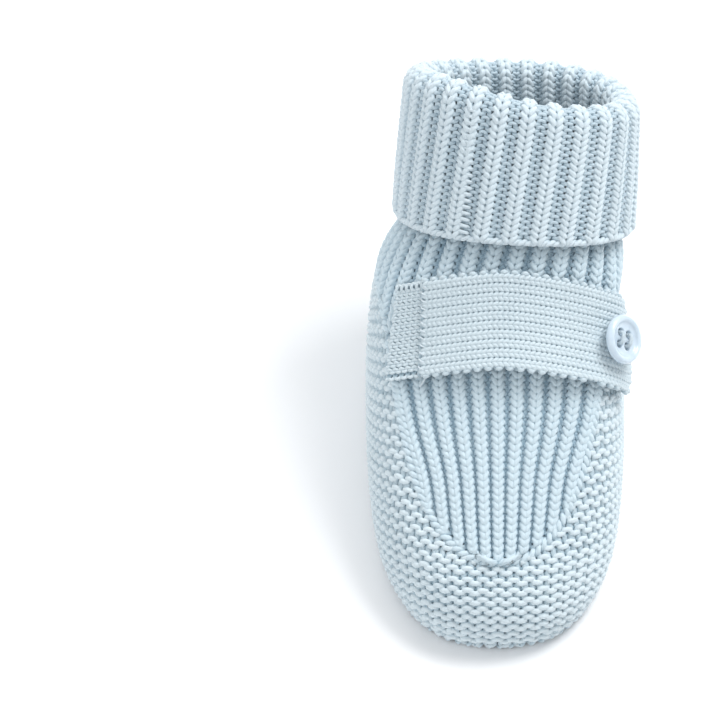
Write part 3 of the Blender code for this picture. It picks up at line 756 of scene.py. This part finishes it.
def cuff_surface(row, wale):
    share = wale / CUFF_WALES
    run = row * CUFF_ROW
    radius = np.interp(run, CUFF_RUN, CUFF_POINTS[:, 0])
    height = np.interp(run, CUFF_RUN, CUFF_POINTS[:, 1])
    turn = 2 * math.pi * share
    up = np.clip(height / CUFF_HEIGHT, 0, 1)
    height = height + 0.9 * up * np.cos(turn + 2.4) + 0.35 * up * np.sin(3 * turn) + 0 * radius
    off = np.mod(turn - RUMPLE_TURN + math.pi, 2 * math.pi) - math.pi
    rumple = np.exp(-((off / RUMPLE_WIDTH) ** 2))
    height = height + RIM_RISE * up**2 * rumple
    share = share - CUFF_SLANT * (1 - up)
    radius = radius * (1 + 0.012 * up * np.sin(2 * turn + 0.7))
    return leg_ring(height, radius, share + 0 * radius)


cuff_sheet = Sheet(cuff_surface, (-1, CUFF_ROWS + 1), (0, CUFF_WALES), HEM_CENTRE + LEG_AXIS * 14, wrap=True)
# the fold faces both ways, so a row of the outer layer decides which side is out
if np.sum((cuff_sheet.points[8] - HEM_CENTRE - LEG_AXIS * 10) * cuff_sheet.normals[8]) < 0:
    cuff_sheet.normals = -cuff_sheet.normals
cuff_weave = rib_weave(radius=0.62, depth=0.40, relief=0.44, narrow=0.30, tighten=0.36, thin=0.42)
cuff_strands = [knit_row(cuff_sheet, row, 0, CUFF_WALES, cuff_weave, True) for row in range(1, CUFF_ROWS)]
cuff_knit = yarn_piece("cuff_knit", cuff_strands, SIDES, CUFF)

# ---- foot: garter rows that lean forward over the toe, row numbers going from the toe to the heel
GARTER_STITCH = 3.15
ROW_SQUEEZE = 0.78
HEEL_TURN = 9.0
LEAST_COURSE = 12


def lean(base):
    """How far a row leans forward as it rises, from where it leaves the sole."""
    return np.interp(base, [-60, -46, -38, -10, 20, 60, 84], [1.35, 1.45, 1.55, 1.5, 1.1, 0.4, 0.0])


def spacing(base):
    """Distance between rows where they leave the sole."""
    return np.interp(base, [-60, -16, 0, 84], [1.30, 1.24, 1.14, 1.08])


def garter_field():
    """Row numbers over the +X half of the wall, with the surface's own directions."""
    at = np.linspace(-0.5, HEEL, 541)
    v = np.linspace(0, 1, 81)
    points = wall_point(at[:, None], v[None, :])
    outline = spline(OUTLINE_LOOP, at, True)
    run = run_of(outline)
    turn_at = np.searchsorted(at, HEEL_TURN)
    # round the heel, rows are counted along the outline and no longer along the foot
    past = outline[turn_at, 1] + run - run[turn_at]
    forward = points[..., 1]
    blend = smooth((at - HEEL_TURN + 1.0) / 2.0)[:, None]
    forward = forward * (1 - blend) + past[:, None] * blend
    base = forward
    for _ in range(60):
        base = forward + points[..., 2] * lean(base)
    table = np.linspace(-60, 100, 1601)
    tall = spacing(table) * np.sqrt(1 + lean(table) ** 2) * ROW_SQUEEZE
    numbers = np.concatenate([[0], np.cumsum(np.diff(table) / tall[1:])])
    rows = np.interp(base, table, numbers)
    # the middle of the heel lies half a row past the last row, so that both sides meet there
    rows = rows - (rows[-1].mean() % 1.0 - 0.5)
    pa, pv = np.gradient(points, axis=0), np.gradient(points, axis=1)
    fa, fv = np.gradient(rows, axis=0), np.gradient(rows, axis=1)
    e, f, g = np.sum(pa * pa, -1), np.sum(pa * pv, -1), np.sum(pv * pv, -1)
    det = np.maximum(e * g - f * f, 1e-9)
    grad = ((g * fa - f * fv) / det)[..., None] * pa + ((e * fv - f * fa) / det)[..., None] * pv
    steep = np.linalg.norm(grad, axis=-1, keepdims=True)
    up = grad / np.maximum(steep, 1e-6)
    normal = unit(np.cross(pa, pv))
    if np.sum((points - np.array((0, 0, 10))) * normal) < 0:
        normal = -normal
    return at, v, points, rows, up, normal, np.clip(1 / np.maximum(steep[..., 0], 1e-6), 0.5, 1.4)


FIELD = garter_field()


def garter_course(number):
    """One row on the +X half, from the sole's edge up.

    Gives points, up-directions, normals, row heights, and whether the row meets the middle of the toe.
    """
    at, v, points, rows, up, normal, height = FIELD
    first = np.searchsorted(at, 0.0)
    found = []
    reached = False
    for share in np.linspace(0, 1, 161):
        k = share * (len(v) - 1)
        j = min(int(k), len(v) - 2)
        w = k - j
        column = rows[first:, j] * (1 - w) + rows[first:, j + 1] * w
        if number > column[-1]:
            continue
        if number < column[0]:
            reached = True
            break
        i = np.interp(number, column, np.arange(len(column))) + first
        found.append((i, k))
    if len(found) < LEAST_COURSE:
        return None
    if reached:
        # over the toe a row runs nearly level, so its last stretch is found station by station
        for i in range(int(found[-1][0]), first - 1, -1):
            found.append((float(i), np.interp(number, rows[i], np.arange(len(v)))))
    i, k = np.array(found).T
    up, normal = unit(between(up, i, k)), unit(between(normal, i, k))
    return between(points, i, k), up, normal, between(height, i, k), reached


def mirrored(field):
    """The same line on the -X half."""
    return field * np.array((-1.0, 1.0, 1.0))


def course_strand(points, up, normal, height, row, origin, weave):
    """The yarn of one row along a line on the surface, its loops standing square to the line."""
    run = run_of(points)
    first = int(math.ceil(-origin / GARTER_STITCH - 0.2))
    last = int(math.floor((run[-1] - origin) / GARTER_STITCH + 0.2))
    if last - first < 1:
        return None
    c, u, depth = stitch_line(row, first, last - first + 1, STEPS, weave)
    s = np.clip(origin + u * GARTER_STITCH, -0.4, run[-1] + 0.4)
    depth = depth + weave["offset"](c, u)
    here, over, out = read_at(s, run, points), unit(read_at(s, run, up)), unit(read_at(s, run, normal))
    tall = np.interp(s, run, height)
    spot = here + over * ((c - row) * tall)[:, None] + out * (depth + BODY_DEPTH)[:, None]
    return spot, out, weave["radius"], shade_level_of(depth, weave), False


side_weave = garter_weave(0.60, 0.36, 0.24)
toe_weave = garter_weave(0.62, 0.36, 0.24, 0.86)
toe_strands, side_strands, far_side_strands = [], [], []
numbers = np.arange(int(FIELD[3].min()) - 1, int(FIELD[3].max()) + 1)
before = None
for number in numbers:
    course = garter_course(float(number))
    if course is None:
        continue
    points, up, normal, height, reached = course
    if reached:
        line = [np.concatenate([field, mirrored(field)[::-1][1:]]) for field in (points, up, normal)]
        tall = np.concatenate([height, height[::-1][1:]])
        length = np.sum(np.linalg.norm(np.diff(points, axis=0), axis=1))
        strand = course_strand(*line, tall, int(number), length, toe_weave)
        if strand:
            toe_strands.append(strand)
        before = (points, length)
        continue
    # stitches line up with those of the row before, halfway up the wall
    middle = len(before[0]) // 2
    nearest = np.argmin(np.linalg.norm(points - before[0][middle], axis=1))
    origin = (run_of(points)[nearest] - (run_of(before[0])[middle] - before[1])) % GARTER_STITCH
    before = (points, origin)
    line = (points, up, normal)
    for fields, strands in ((line, side_strands), (map(mirrored, line), far_side_strands)):
        strand = course_strand(*fields, height, int(number), origin, side_weave)
        if strand:
            strands.append(strand)
toe_knit = yarn_piece("toe_garter_knit", toe_strands, SIDES, GARTER)
button_side_knit = yarn_piece("button_side_garter_knit", side_strands, SIDES, GARTER)
far_side_knit = yarn_piece("far_side_garter_knit", far_side_strands, SIDES, GARTER)

# ---- sole: flat garter inside the wall's edge
SOLE_ROW = 1.1
SOLE_LEVEL = 1.35
SOLE_STEPS = 8
SOLE_SIDES = 5
sole_edge = outline_inset(np.linspace(0, HEEL, 400), WALL_FOOT_INSET + 0.5, 0.0)
sole_weave = garter_weave(0.55, 0.28, 0.26)
sole_strands = []
for row in range(-42, 43):
    y = row * SOLE_ROW
    half = np.interp(y, sole_edge[:, 1], sole_edge[:, 0], left=0, right=0)
    count = int(half / GARTER_STITCH - 0.3)
    if count < 1:
        continue
    c, u, depth = stitch_line(row, -count, 2 * count + 1, SOLE_STEPS, sole_weave)
    depth = depth + sole_weave["offset"](c, u)
    points = np.stack([u * GARTER_STITCH, c * SOLE_ROW, SOLE_LEVEL - depth], -1)
    normals = np.broadcast_to(np.array((0.0, 0.0, -1.0)), points.shape)
    sole_strands.append((points, normals, sole_weave["radius"], shade_level_of(depth, sole_weave), False))
sole_knit = yarn_piece("sole_garter_knit", sole_strands, SOLE_SIDES, GARTER)


# ---- strap: laid over the foot, its wales running along it
def body_skin():
    """The foot's and leg's outer surface, for laying the strap on it."""
    points, faces = [], []
    at = np.linspace(0, 2 * HEEL, 157)[:-1]
    grids = [
        wall_point(at[None, :], np.linspace(0, 1, 13)[:, None]),
        instep_point(np.linspace(0.2, INSTEP_TOP, 21)[:, None], np.linspace(-1, 1, 21)[None, :]),
        leg_surface(np.linspace(-13, 9, 23)[:, None], np.linspace(0, LEG_WALES, 81)[None, :]),
    ]
    for grid in grids:
        rows, columns = grid.shape[:2]
        start = len(points)
        points += [Vector(p) for p in grid.reshape(-1, 3)]
        for r in range(rows - 1):
            for c in range(columns - 1):
                a = start + r * columns + c
                faces.append((a, a + 1, a + columns + 1, a + columns))
    return BVHTree.FromPolygons(points, faces)


SKIN = body_skin()


def strap_shift(angle):
    """How far the strap's middle line lies down the foot at an angle round it."""
    left = -3.4 * min(max(-angle / abs(TAB_ANGLE), 0.0), 1.0) ** 1.3
    right = -5.0 * min(max(angle / BUTTON_ANGLE, 0.0), 1.2) ** 1.6
    return left + right - 0.3


def strap_lift(angle, across):
    """How far the strap stands off the foot, arched over the instep."""
    share = (angle - ROOT_ANGLE) / (BUTTON_ANGLE - ROOT_ANGLE)
    arch = math.sin(math.pi * share) ** 0.8 if 0 < share < 1 else 0.0
    return STRAP_CLEAR + STRAP_ARCH * arch * (0.55 - 0.75 * across / STRAP_WIDTH)


def strap_spot(angle, across, height):
    """A point over the strap's inner face."""
    core = STRAP_ORIGIN + STRAP_UP * (strap_shift(angle) + across) - STRAP_OUT * STRAP_CORE_DEPTH
    way = np.array((math.sin(angle), 0, 0)) + STRAP_OUT * math.cos(angle)
    # a ray can slip between two faces, so the next one along is tried
    for shift in (0.0, 0.03, -0.03, 0.3, -0.3, 1.0):
        hit = SKIN.ray_cast(Vector(core + STRAP_UP * shift), Vector(way))[0]
        if hit is not None:
            break
    return np.array(hit) + way * (strap_lift(angle, across) + height)


STRAP_WALES = 10
STRAP_WALE = STRAP_WIDTH / STRAP_WALES
STRAP_ROW = 1.04
SPAN = math.radians(6.0)
strap_angles = np.linspace(TAB_ANGLE - SPAN, TIP_ANGLE + SPAN, 96)
strap_across = np.linspace(-STRAP_WIDTH / 2 - 2, STRAP_WIDTH / 2 + 2, 15)
strap_grid = np.array([[strap_spot(a, x, 1.0) for x in strap_across] for a in strap_angles])
for _ in range(6):
    strap_grid[1:-1] = (strap_grid[:-2] + 2 * strap_grid[1:-1] + strap_grid[2:]) / 4
# across the strap the fabric bridges what it lies on, in one even bend
bend = np.polynomial.polynomial.polyvander(strap_across / strap_across[-1], 2)
strap_grid = bend @ (np.linalg.pinv(bend) @ strap_grid)
strap_run = run_of(strap_grid[:, len(strap_across) // 2])
root_run = np.interp(ROOT_ANGLE, strap_angles, strap_run)
button_run = np.interp(BUTTON_ANGLE, strap_angles, strap_run)


def strap_surface(row, wale):
    """Row 0 at the root, wale 0 on the middle line, positive up the leg."""
    run = root_run + row * STRAP_ROW + 0 * wale
    place = wale * STRAP_WALE + 0 * row
    i = np.clip(np.interp(run, strap_run, np.arange(len(strap_run))), 0, len(strap_run) - 1.001)
    k = np.clip((place - strap_across[0]) / (strap_across[1] - strap_across[0]), 0, len(strap_across) - 1.001)
    return between(strap_grid, i, k)


tip_run = np.interp(TIP_ANGLE, strap_angles, strap_run)
STRAP_ROWS = int((tip_run - root_run) / STRAP_ROW)
strap_sheet = Sheet(strap_surface, (-8, STRAP_ROWS + 2), (-6, 6), (0, 15, 20))
strap_weave = plain_weave(radius=0.50, depth=0.24, face=1.0, crown=0.12, tighten=0.34)
SLIT = (int((button_run - root_run - 4.6) / STRAP_ROW), int((button_run - root_run + 3.6) / STRAP_ROW))


def zigzag(sheet, rows, first, count, weave, base=0.0, trim=None):
    """Rows knitted to and fro with one yarn, turning at both edges."""
    lines = []
    for n, row in enumerate(rows):
        start, number = (first, count) if trim is None else trim(row, first, count)
        c, u, depth = stitch_line(row, start, number, STEPS, weave)
        if n % 2:
            c, u, depth = c[::-1], u[::-1], depth[::-1]
        if lines:
            edge = 1 if n % 2 else -1
            mid = (lines[-1][0][-1] + c[0]) / 2
            far = (lines[-1][1][-1] + u[0]) / 2 + edge * 0.12
            near = far - edge * 0.05
            lines.append(np.array([[mid - 0.3, near, 0.05], [mid, far, 0.1], [mid + 0.3, near, 0.05]]).T)
        lines.append((c, u, depth))
    c, u, depth = [np.concatenate([line[k] for line in lines]) for k in range(3)]
    points, normals = sheet.read(c, weave["place"](u))
    return points + normals * (depth + base)[:, None], normals, weave["radius"], shade_level_of(depth, weave), False


def round_tip(row, first, count):
    """Fewer stitches in the last rows, so that the strap's end is rounded."""
    left = STRAP_ROWS - row
    cut = 2 if left < 1 else 1 if left < 3 else 0
    return first + cut, count - 2 * cut


# the rows of the buttonhole are knitted in two halves, with the slit between them
HALF_WALES = STRAP_WALES // 2
slit_rows = range(*SLIT)
tip_rows = range(SLIT[1], STRAP_ROWS + 1)
strap_strands = [
    zigzag(strap_sheet, range(SLIT[0]), -HALF_WALES, STRAP_WALES, strap_weave),
    zigzag(strap_sheet, slit_rows, -HALF_WALES, HALF_WALES, strap_weave),
    zigzag(strap_sheet, slit_rows, 0, HALF_WALES, strap_weave),
    zigzag(strap_sheet, tip_rows, -HALF_WALES, STRAP_WALES, strap_weave, trim=round_tip),
]
strap_knit = yarn_piece("strap_knit", strap_strands, SIDES, STRAP)

# ---- tab: the sewn-down root of the strap, purl side out, its rows running along the strap
TAB_ROWS = 13
TAB_STITCHES = 6
TAB_WIDTH = 8.9  # in the strap's wales
TAB_SINK = 0.35
tab_length = root_run - np.interp(TAB_ANGLE, strap_angles, strap_run)


def tab_surface(row, wale):
    along = (wale / TAB_STITCHES - 1) * tab_length / STRAP_ROW
    return strap_surface(along, (row / TAB_ROWS - 0.5) * TAB_WIDTH)


tab_sheet = Sheet(tab_surface, (-1, TAB_ROWS + 1), (-1, TAB_STITCHES + 1), (0, 15, 20))
tab_weave = plain_weave(radius=0.36, depth=0.22, face=-1.0, crown=0.0, tighten=0.0)
edge_stitches = np.linspace(-0.1, TAB_STITCHES - 0.4, 40)
tab_edge, tab_edge_out = tab_sheet.read(np.full(40, TAB_ROWS + 0.35), edge_stitches)
tab_knit = yarn_piece(
    "strap_tab_knit",
    [
        zigzag(tab_sheet, range(TAB_ROWS + 1), 0, TAB_STITCHES, tab_weave, -TAB_SINK),
        overcast(tab_edge, tab_edge_out, 0.5, 0.3, 1.25, 0.34, 0.25),
    ],
    SIDES,
    STRAP,
)


# ---- seams, edges and threads
def seam_path(first, last, v):
    """The line between the ribs and the garter, with the direction out of the foot."""
    at = np.arange(first, last + 0.01, 0.1)
    line = wall_point(at, v)
    along = spline(SEAM_LOOP, at + 0.05, True) - spline(SEAM_LOOP, at - 0.05, True)
    out = unit(np.cross(along, line - wall_point(at, 0.94)))
    out *= np.where(np.sum(out * (line - np.array((0.0, 5.0, 12.0))), -1) < 0, -1.0, 1.0)[:, None]
    return line, out


instep_line, instep_out = seam_path(-INSTEP_TOP + 0.2, INSTEP_TOP - 0.2, 0.98)
instep_seam = yarn_piece("instep_edge_cord", cord(instep_line, instep_out, 0.45, 3.2, 0.58, 0.8), 6, JOIN)
ankle_line, ankle_out = seam_path(INSTEP_TOP, 2 * HEEL - INSTEP_TOP, 0.99)
ankle_seam = yarn_piece("ankle_edge_cord", cord(ankle_line, ankle_out, 0.42, 3.0, 0.5, 0.8), 6, JOIN)

sole_at = np.linspace(0, 2 * HEEL, 400)
sole_line = outline_inset(sole_at, 3.4, 1.15)
sole_out = unit(outline_inset(sole_at, 0.0, 0.0) - outline_inset(sole_at, 3.0, 2.2))
sole_stitches = overcast(sole_line, sole_out, 0.7, 0.45, 2.1, 0.42, closed=True)
sole_seam = yarn_piece("sole_whip_seam", [sole_stitches], 6, JOIN)

HEM_TWISTS = 54
HEM_SWING = 0.32
hem_turn = np.linspace(0, 1, 300)[:-1]
hem_strands = []
for shift in (0.0, 0.5):
    twist = 2 * math.pi * (HEM_TWISTS * hem_turn + shift)
    hem_radius = CUFF_HEM_RADIUS - 1.0 + HEM_SWING * np.cos(twist)
    ring = leg_ring(0.75 + HEM_SWING * np.sin(twist), hem_radius, hem_turn)
    side, front = oval_spot(hem_turn)
    out = LEG_SIDE * side[:, None] + LEG_FRONT * front[:, None]
    # the cord is painted darker, as shade, on the turns that roll inward
    hem_strands.append((ring, out, 0.46, 0.7 + 0.3 * np.cos(twist), True))
hem_edge = yarn_piece("cuff_bind_off_cord", hem_strands, 8, CUFF)

seam_height = np.linspace(1.8, CUFF_HEIGHT - 1.5, 60)
seam_share = np.full(60, CUFF_SEAM_ANGLE / (2 * math.pi))
cuff_line = leg_ring(seam_height, CUFF_HEM_RADIUS - 0.75 - 0.02 * seam_height, seam_share)
side, front = oval_spot(seam_share)
cuff_out = LEG_SIDE * side[:, None] + LEG_FRONT * front[:, None]
cuff_seam = yarn_piece("cuff_side_seam", [overcast(cuff_line, cuff_out, 1.15, 0.5, 1.3, 0.36, 0.1)], 6, CUFF)

root_across = np.linspace(-STRAP_WIDTH / 2 + 1.0, STRAP_WIDTH / 2 - 1.0, 40) / STRAP_WALE
root_points, root_normals = strap_sheet.read(np.full(40, -0.3), root_across)
tail_reach = np.linspace(0, 1, 24)
tail_points, tail_normals = strap_sheet.read(0.6 * np.sin(4 * tail_reach) - 0.3, -4.5 - 1.6 * tail_reach)
tail_points = tail_points - tail_normals * (1.2 * tail_reach)[:, None]
root_stitches = yarn_piece(
    "strap_root_stitches",
    [
        overcast(root_points, root_normals, 0.6, 0.4, 1.5, 0.18, -0.3),
        (tail_points, tail_normals, 0.17, 0.8, False),
    ],
    6,
    THREAD,
)
down_slit = np.linspace(SLIT[0] - 0.3, SLIT[1] + 0.1, 30)
slit_sides = np.repeat([0.32, -0.32], 30)
slot_points, slot_normals = strap_sheet.read(np.concatenate([down_slit, down_slit[::-1]]), slit_sides)
slot_stitches = overcast(slot_points, slot_normals, 0.35, 0.4, 1.1, 0.2)
slot_edge = yarn_piece("buttonhole_whip_edge", [slot_stitches], 6, JOIN)


# ---- button: a dished disc with a rolled rim and four eased holes, and the thread that holds it
def plastic_material():
    made, tree, shader = principled("button_gloss", (0.56, 0.665, 0.76), 0.2)
    shader.inputs["Coat Weight"].default_value = 0.4
    shader.inputs["Coat Roughness"].default_value = 0.08
    place = tree.nodes.new("ShaderNodeTexCoord")
    swirl = noise(tree, place, 260.0, 3.0)
    ramp = tree.nodes.new("ShaderNodeValToRGB")
    ramp.color_ramp.elements[0].position = 0.3
    ramp.color_ramp.elements[0].color = (0.50, 0.61, 0.71, 1.0)
    ramp.color_ramp.elements[1].position = 0.7
    ramp.color_ramp.elements[1].color = (0.62, 0.72, 0.80, 1.0)
    link(tree, swirl, "Fac", ramp, 0)
    link(tree, ramp, "Color", shader, "Base Color")
    return made


def on_button(spots):
    """World places of points given along the strap, up the slope and out of the foot."""
    return BUTTON_SPOT + np.asarray(spots, float) @ np.array([BUTTON_ALONG, BUTTON_UP, BUTTON_OUT])


def lathed(profile, turns, centre=(0.0, 0.0)):
    """Vertices and faces of a turned solid whose profile starts and ends on its axis."""
    verts, faces = [(*centre, profile[0][1])], []
    for radius, height in profile[1:-1]:
        verts += [
            (centre[0] + radius * math.cos(a), centre[1] + radius * math.sin(a), height)
            for a in 2 * math.pi * np.arange(turns) / turns
        ]
    verts.append((*centre, profile[-1][1]))
    rings = len(profile) - 2
    last = len(verts) - 1
    for k in range(turns):
        n = (k + 1) % turns
        faces.append((0, 1 + k, 1 + n))
        for r in range(rings - 1):
            a, b = 1 + r * turns, 1 + (r + 1) * turns
            faces.append((a + k, b + k, b + n, a + n))
        a = 1 + (rings - 1) * turns
        faces.append((a + k, last, a + n))
    return verts, faces


def button_piece():
    """The drilled button, standing in its place on the foot."""
    fine = spline(BUTTON_PROFILE[1:-1], np.linspace(0, len(BUTTON_PROFILE) - 3, 46))
    dish = BUTTON_PROFILE[0]
    profile = [dish, (1.4, dish[1]), *map(tuple, fine), BUTTON_PROFILE[-1]]
    verts, faces = lathed(profile, 96)
    blank = bpy.data.meshes.new("moulded_button")
    blank.from_pydata([tuple(p) for p in np.array(verts) * MM], [], faces)
    cut_verts, cut_faces = [], []
    for x in (-BUTTON_HOLE, BUTTON_HOLE):
        for y in (-BUTTON_HOLE, BUTTON_HOLE):
            more, sides = lathed(HOLE_PROFILE, 32, (x, y))
            cut_faces += [tuple(i + len(cut_verts) for i in face) for face in sides]
            cut_verts += more
    cutter = bpy.data.meshes.new("button_holes")
    cutter.from_pydata([tuple(p) for p in np.array(cut_verts) * MM], [], cut_faces)
    body, tool = bpy.data.objects.new("moulded_button", blank), bpy.data.objects.new("button_holes", cutter)
    for obj in (body, tool):
        bpy.context.scene.collection.objects.link(obj)
    cut = body.modifiers.new("holes", "BOOLEAN")
    cut.operation = "DIFFERENCE"
    cut.solver = "EXACT"
    cut.object = tool
    bpy.context.view_layer.update()
    drilled = bpy.data.meshes.new_from_object(body.evaluated_get(bpy.context.evaluated_depsgraph_get()))
    body.modifiers.clear()
    bpy.data.objects.remove(tool)
    body.data = drilled
    local = np.empty(len(drilled.vertices) * 3, np.float32)
    drilled.vertices.foreach_get("co", local)
    placed = on_button(local.reshape(-1, 3) / MM) * MM
    drilled.vertices.foreach_set("co", placed.astype(np.float32).reshape(-1))
    drilled.polygons.foreach_set("use_smooth", np.ones(len(drilled.polygons), bool))
    drilled.set_sharp_from_angle(angle=math.radians(40))
    drilled.update()
    drilled.materials.clear()
    drilled.materials.append(plastic_material())
    return body


button_disc = button_piece()
thread_strands = []
for x in (-BUTTON_HOLE, BUTTON_HOLE):
    half_route = [
        (0.3 * x, 0.35, -3.0), (0.3 * x, 0.35, -1.5), (0.75 * x, 0.9, -0.75), (x, 1.18, 0.0), (x, 1.2, 0.9),
        (x, 1.1, 1.75), (x, 0.65, 2.1),
    ]
    # up one hole, over the bar and down the next
    route = [(a, -b, c) for a, b, c in half_route] + [(x, 0.0, 2.16)] + half_route[::-1]
    middle_route = spline(route, np.linspace(0, len(route) - 1, 170))
    forward = unit(np.gradient(middle_route, axis=0))
    beside = np.broadcast_to(np.array((1.0, 0.0, 0.0)), forward.shape)
    above = unit(np.cross(forward, beside))
    beside = np.cross(above, forward)
    for strand in range(5):
        phase = 2 * math.pi * (strand / 5 + np.linspace(0, 2.4, 170))
        wide, tall = 0.27 * np.cos(phase), 0.2 * np.sin(phase)
        spots = middle_route + beside * wide[:, None] + above * tall[:, None]
        out_of = unit(on_button(above) - BUTTON_SPOT)
        # each strand is painted darker, as shade, where it turns low in the bundle
        thread_strands.append((on_button(spots), out_of, 0.17, 0.7 + 0.25 * np.sin(phase), False))
coil = np.linspace(0, 1, 260)
around = 2 * math.pi * 7 * coil
coil_spots = np.stack([0.68 * np.cos(around), 0.68 * np.sin(around), -3.0 + 2.1 * coil], -1)
coil_out = unit(on_button(coil_spots * (1, 1, 0)) - BUTTON_SPOT)
thread_strands.append((on_button(coil_spots), coil_out, 0.17, 0.6, False))
thread_knit = yarn_piece("button_thread_strands", thread_strands, 6, THREAD)

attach(button_disc, "bootie")
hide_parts("button")
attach(thread_knit, "bootie")
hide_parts("button_thread")
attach(leg_knit, "bootie")
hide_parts("leg_rib_tube")
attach(instep_knit, "bootie")
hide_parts("instep_rib_panel")
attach(cuff_knit, "cuff")
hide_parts("turned_cuff")
for piece in (toe_knit, button_side_knit, far_side_knit):
    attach(piece, "bootie")
    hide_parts("garter_foot_wall")
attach(sole_knit, "bootie")
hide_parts("garter_sole")
root_middle = strap_sheet.read(np.array([-0.5, 5.0]), np.zeros(2))[0] * MM
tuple(root_middle[0])
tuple(root_middle[1])
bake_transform(strap_knit)
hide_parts("strap_band", "strap_end")
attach(tab_knit, "bootie")
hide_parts("strap_tab")

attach(instep_seam, "bootie")
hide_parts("instep_seam")
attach(ankle_seam, "bootie")
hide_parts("ankle_seam")
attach(sole_seam, "bootie")
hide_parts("sole_seam")
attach(hem_edge, "cuff")
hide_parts("cuff_bind_off_edge")
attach(cuff_seam, "cuff")
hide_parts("cuff_seam")
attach(root_stitches, "bootie")
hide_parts("strap_root_stitching")
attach(slot_edge, "strap")
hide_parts("buttonhole_edging")
